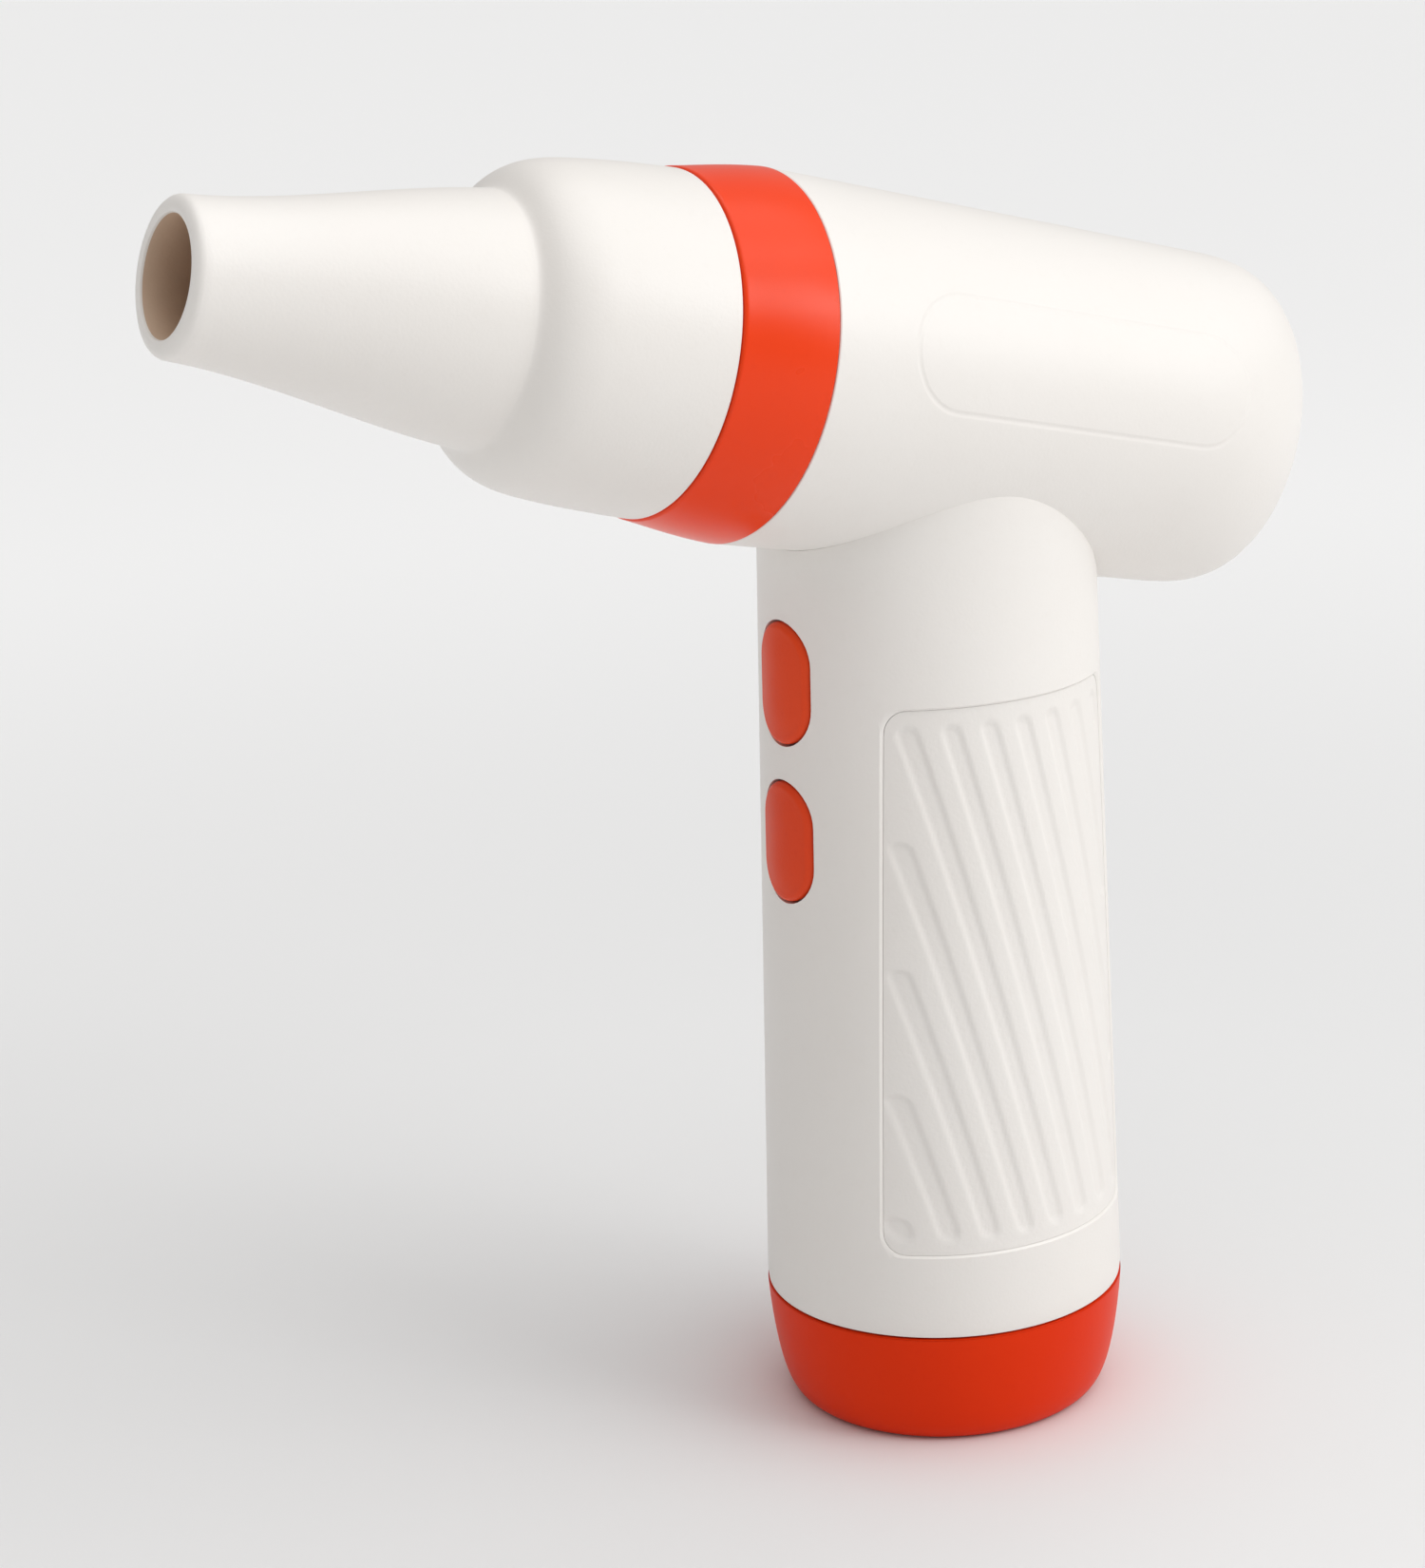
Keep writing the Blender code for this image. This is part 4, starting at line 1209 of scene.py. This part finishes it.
def turned(name: str, profile: Profile, matrix: Matrix, sides: int = 240,
           closed: bool = True) -> bpy.types.Object:
    """A piece turned round the barrel's axis, from (along, radius) points in millimetres."""
    rings = [ring_about_x(along * MM, radius * MM, sides) for along, radius in profile]
    return skin(name, rings, closed, matrix)


@dataclass
class CollarRing:
    """The bright ring between the barrel and the nozzle."""

    matrix: Matrix
    front: float = -40.2
    front_radius: float = 20.8
    back: float = -28.42
    sleeve: float = 20.1
    sleeve_end: float = -24.2
    bore: float = 18.9

    def build(self) -> None:
        """Makes the ring."""
        crown = curve_points([(self.front + 0.3, self.front_radius + 0.05), (-36.9, 21.3), (-33.3, 22.1),
                              (-28.55, 22.5)], 40)
        nose = [(self.front, self.bore + 0.3), (self.front, self.front_radius - 0.3)]
        ease = [(self.front + 0.03, self.front_radius - 0.14), (self.front + 0.12, self.front_radius - 0.02)]
        back = [(self.back, 22.4), (self.back, self.sleeve), (self.sleeve_end, self.sleeve),
                (self.sleeve_end, self.bore), (self.front + 0.3, self.bore)]
        ring = turned("collar_moulding", nose + ease + crown + back, self.matrix)
        fitted(smooth(ring, 40), "main_unit", "orange_plastic", "collar_ring")


@dataclass
class Nozzle:
    """The pull-off nozzle: a lip, a swelling cone, a soft step and a wide nose that meets the collar."""

    matrix: Matrix
    tip: float = -101.1
    spigot: float = 18.6
    bore: float = 16.2
    mouth: float = 6.8
    seal_along: float = -36.0
    seal_radius: float = 0.7

    def _outside(self) -> Profile:
        """The outline from the mouth's edge to the spigot's end."""
        tip = self.tip
        lip = [(tip + 0.35, self.mouth), (tip + 0.1, self.mouth + 0.12), (tip, self.mouth + 0.4), (tip, 7.6),
               (tip + 0.08, 8.05), (tip + 0.3, 8.5), (tip + 0.62, 8.8)]
        cone = curve_points([(tip + 1.0, 8.95), (-88.0, 9.6), (-76.0, 13.4), (-63.5, 14.85)], 48)
        step = curve_points([(-63.5, 14.85), (-62.2, 15.2), (-62.2, 18.5), (-55.8, 19.4)], 40)
        nose = curve_points([(-55.8, 19.4), (-52.0, 19.98), (-46.0, 20.4), (-40.5, 20.6)], 16)
        spigot = [(-40.36, 20.46), (-40.32, 20.1), (-40.32, self.spigot), (-37.05, self.spigot), (-37.05, 17.0),
                  (-34.95, 17.0), (-34.95, self.spigot), (-31.3, self.spigot), (-31.0, self.spigot - 0.3)]
        return lip + cone + step[1:] + nose[1:] + spigot

    def _inside(self) -> Profile:
        """The bore's outline from the spigot's end to the mouth."""
        chamber = [(-31.0, self.bore + 0.3), (-31.3, self.bore), (-40.0, self.bore), (-50.0, self.bore)]
        funnel = curve_points([(-50.0, self.bore), (-60.0, self.bore), (-60.0, 13.4), (-70.0, 11.4)], 20)
        throat = curve_points([(-70.0, 11.4), (-78.0, 9.9), (-86.0, 7.4), (-94.0, self.mouth)], 24)
        return chamber + funnel[1:] + throat[1:] + [(-97.5, self.mouth)]

    def build(self) -> None:
        """Makes the nozzle and its seal."""
        outside, inside = self._outside(), self._inside()
        sides = 200
        piece = turned("nozzle_moulding", outside + inside, self.matrix, sides)
        piece.data.materials.append(WHITE.material())
        mouth = self.matrix @ Vector((self.tip * MM, 0.0, 0.0))
        # the bore takes painted shade that darkens from the mouth inwards
        piece.data.materials.append(PaintedBoreShade().material(mouth.x))
        inner = (len(outside) + 3) * sides
        for polygon in piece.data.polygons:
            polygon.material_index = int(polygon.index >= inner)
        fitted(smooth(piece, 40), "nozzle_unit", "warm_white_plastic", "nozzle")
        middle = self.spigot + 0.15 - self.seal_radius
        seal = turned("seal_ring", circle((self.seal_along, middle), self.seal_radius, 24), self.matrix)
        fitted(smooth(seal, 60), "nozzle_unit", "black_rubber", "nozzle_seal")


# ------------------------------------------------------------------ fan


@dataclass
class FanUnit:
    """The fan in the barrel: a duct with a hub on swept vanes, a cone on the hub, and a bladed wheel."""

    matrix: Matrix
    duct: float = 18.2
    duct_wall: float = 1.2
    hub: float = 11.8
    hub_wall: float = 1.0
    duct_ends: tuple[float, float] = (-22.0, 22.0)
    hub_ends: tuple[float, float] = (-13.0, 9.0)
    vanes: int = 7
    blades: int = 9
    sides: int = 160

    def ring_tree(self, name: str, count: int, finish: bpy.types.Material) -> bpy.types.NodeTree:
        """The geometry tree that repeats one blade round the axis.

        Args:
            name: the tree's name.
            count: how many blades.
            finish: their material.

        Returns:
            The tree.
        """
        graph, entry, close = geometry_tree(name, {"Count": count}, finish)
        total = Value(graph, entry.outputs["Count"])
        line = graph.node("GeometryNodeMeshLine", None, {"Count": total, "Offset": (0.0, 0.0, 0.0)})
        index = Value(graph, graph.node("GeometryNodeInputIndex").outputs[0])
        turn = graph.node("ShaderNodeCombineXYZ", None, {0: index * (2 * math.pi) / total})
        copies = graph.node("GeometryNodeInstanceOnPoints", None,
                            {"Points": line.outputs[0], "Instance": entry.outputs["Geometry"],
                             "Rotation": turn.outputs[0]})
        close(copies.outputs[0])
        return graph.tree

    def _blade(self, name: str, ends: tuple[float, float], radii: tuple[float, float], sweep: float,
               thickness: float) -> bpy.types.Object:
        """One blade: an aerofoil plate that leans round the axis.

        Args:
            name: its name.
            ends: where it starts and ends on the axis, in millimetres.
            radii: its root's and tip's radius.
            sweep: how far it leans, in radians.
            thickness: its greatest thickness.

        Returns:
            The blade in the barrel's frame.
        """
        steps, rings = 10, []
        for k in range(7):
            radius = radii[0] + (radii[1] - radii[0]) * k / 6
            lean = sweep * (1.0 - 0.25 * k / 6)
            loop = []
            for side in (1, -1):
                order = range(steps + 1) if side == 1 else range(steps - 1, 0, -1)
                for i in order:
                    share = i / steps
                    along = ends[0] + (ends[1] - ends[0]) * share
                    half = thickness / 2 * (0.25 + 0.75 * math.sin(math.pi * share) ** 0.6)
                    turn = lean * share ** 1.25 + side * half / radius
                    loop.append((along * MM, radius * MM * math.cos(turn), radius * MM * math.sin(turn)))
            rings.append(loop)
        return skin(name, rings)

    def _bladed(self, name: str, count: int, blade: bpy.types.Object, body: str, slot: str, node: str) -> None:
        """Repeats a blade and fits the result.

        Args:
            name: the piece's name.
            count: how many blades.
            blade: the first blade.
            body: the body it moves with.
            slot: its material slot.
            node: the CAD node it stands for.
        """
        tree = self.ring_tree(f"{name}_tree", count, SLOT_FINISHES[slot].material())
        grown(blade, tree, {"Count": count})
        blade.name = name
        blade.data.transform(self.matrix)
        fitted(smooth(blade), body, slot, node)

    def build(self) -> None:
        """Makes the duct, its vanes, the cone and the wheel."""
        inner = self.duct - self.duct_wall
        hub_bore = self.hub - self.hub_wall
        for name, (low, high), (bore, radius), corner in (
                ("duct_tube", self.duct_ends, (inner, self.duct), 0.4),
                ("duct_hub", self.hub_ends, (hub_bore, self.hub), 0.3)):
            outline = rounded([(low, bore), (low, radius), (high, radius), (high, bore)], corner)
            tube = turned(name, outline, self.matrix, self.sides)
            fitted(smooth(tube), "main_unit", "grey_plastic", "fan_duct")
        vane = self._blade("vane", (-10.0, 4.0), (self.hub - 0.4, inner + 0.4), math.radians(24), 1.2)
        self._bladed("duct_vanes", self.vanes, vane, "main_unit", "grey_plastic", "fan_duct")
        cone = curve_points([(-13.3, self.hub), (-20.0, 11.0), (-25.0, 6.5), (-27.5, 0.02)], 32)
        tip = turned("hub_cone", cone, self.matrix, self.sides, closed=False)
        fitted(smooth(tip, 50), "main_unit", "black_plastic", "tail_cone")
        dome = curve_points([(23.5, 1.8), (23.2, 5.5), (18.0, 8.6), (11.0, self.hub - 0.2)], 32)
        wheel = turned("fan_wheel", dome + [(11.0, 1.8)], self.matrix, self.sides)
        fitted(smooth(wheel), "rotor", "black_plastic", "impeller")
        blade = self._blade("blade", (11.4, 18.5), (7.0, inner - 0.45), math.radians(-38), 1.0)
        self._bladed("fan_blades", self.blades, blade, "rotor", "black_plastic", "impeller")


# ------------------------------------------------------------------ the rest


def dress_inner_nodes(frame: dict) -> None:
    """Gives every CAD node that is still shown the finish of its material slot.
    """
    slots = {part["node"]: part["material_slot"] for part in frame["record"]["subparts"]}
    for name, node in frame["nodes"].items():
        if node.hide_render:
            continue
        finish = SLOT_FINISHES[slots[name]].material()
        for slot in node.material_slots:
            slot.material = finish
        LOG.info("%s: CAD shape in %s", name, finish.name)


@dataclass
class Studio:
    """A pale floor, soft lights and the camera."""

    spot: Point = (-0.2283, -0.3240, 0.1904)
    yaw: float = math.radians(31.09)
    drop: float = math.radians(15.12)
    roll: float = math.radians(-2.45)
    lens: float = 73.30
    middle: Point = (-0.02, 0.0, 0.09)
    floor_reach: float = 40.0
    surround: Colour = (1.0, 0.99, 0.98)
    surround_strength: float = 0.41

    def build(self) -> None:
        """Makes the floor, the lights and the camera."""
        self._floor()
        self._world()
        self._sun("sky_light", (0.10, -0.15, 1.0), 70.0, 1.33)
        self._sun("side_light", (0.85, -0.80, 0.75), 50.0, 0.52)
        self._lamp("ring_light", (0.20, -0.42, 0.43), 0.16, 0.3)
        self._lamp("key_light", (0.52, -0.62, 0.42), 0.36, 0.9)
        self._camera()

    def _floor(self) -> None:
        """A wide flat floor."""
        reach = self.floor_reach
        mesh = bpy.data.meshes.new("floor")
        corner_signs = ((-1, -1), (1, -1), (1, 1), (-1, 1))
        mesh.from_pydata([(x * reach, y * reach, 0.0) for x, y in corner_signs], [], [(0, 1, 2, 3)])
        floor = linked("floor", mesh)
        floor.data.materials.append(FloorFinish().material())

    def _world(self) -> None:
        """An even white surround."""
        world = bpy.data.worlds.new("surround")
        world.use_nodes = True
        inputs = world.node_tree.nodes["Background"].inputs
        inputs["Color"].default_value = (*self.surround, 1.0)
        inputs["Strength"].default_value = self.surround_strength
        bpy.context.scene.world = world
        bpy.context.scene.view_settings.view_transform = "Standard"

    @staticmethod
    def _sun(name: str, towards: Point, spread: float, strength: float) -> None:
        """A far, very soft light, even over the whole floor.

        Args:
            name: its name.
            towards: the way to it.
            spread: its angle in degrees.
            strength: its strength.
        """
        lamp = bpy.data.lights.new(name, "SUN")
        lamp.energy = strength
        lamp.angle = math.radians(spread)
        linked(name, lamp).rotation_euler = Vector(towards).to_track_quat("Z", "Y").to_euler()

    def _lamp(self, name: str, spot: Point, size: float, power: float) -> None:
        """A square soft light aimed at the object.

        Args:
            name: its name.
            spot: where it hangs.
            size: its side.
            power: its power in watts.
        """
        lamp = bpy.data.lights.new(name, "AREA")
        lamp.size = size
        lamp.energy = power
        made = linked(name, lamp)
        made.location = spot
        made.rotation_euler = (Vector(self.middle) - Vector(spot)).to_track_quat("-Z", "Y").to_euler()

    def _camera(self) -> None:
        """The camera at its fixed place."""
        ahead = Vector((math.sin(self.yaw) * math.cos(self.drop), math.cos(self.yaw) * math.cos(self.drop),
                        -math.sin(self.drop)))
        right = Vector((math.cos(self.yaw), -math.sin(self.yaw), 0.0))
        up = right.cross(ahead)
        turned_right = right * math.cos(self.roll) + up * math.sin(self.roll)
        turned_up = up * math.cos(self.roll) - right * math.sin(self.roll)
        camera = bpy.data.cameras.new("camera")
        camera.lens = self.lens
        camera.sensor_width = 36.0
        camera.clip_start, camera.clip_end = 0.01, 20.0
        made = linked("camera", camera)
        made.matrix_world = frame_matrix(self.spot, (turned_right, turned_up, -ahead))
        bpy.context.scene.camera = made


def barrel_frame(frame: dict) -> Matrix:
    """The barrel's frame, from the fan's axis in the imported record.


    Returns:
        The matrix that takes the barrel's coordinates to the object's.
    """
    spin = next(joint for joint in frame["joints"] if joint["name"] == "rotor_spin")
    along = Vector(spin["axis"]).normalized()
    across = Vector((0.0, 1.0, 0.0))
    return frame_matrix(spin["pos_m"], (along, across, along.cross(across)))


def main() -> None:
    """Builds the air duster and the studio round it."""
    logging.basicConfig(level=logging.INFO, format="%(message)s")
    for leftover in list(bpy.data.objects):
        bpy.data.objects.remove(leftover, do_unlink=True)
    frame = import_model()
    shape = GripShape()
    matrix = barrel_frame(frame)
    barrel = Barrel(matrix)
    barrel.build(shape)
    CollarRing(matrix).build()
    Nozzle(matrix).build()
    FanUnit(matrix).build()
    Handle(shape, barrel).build()
    GripPanels(shape).build()
    Keys(shape).build()
    BaseCap(shape).build()
    dress_inner_nodes(frame)
    Studio().build()
    bpy.context.view_layer.update()


if __name__ == "__main__":
    main()
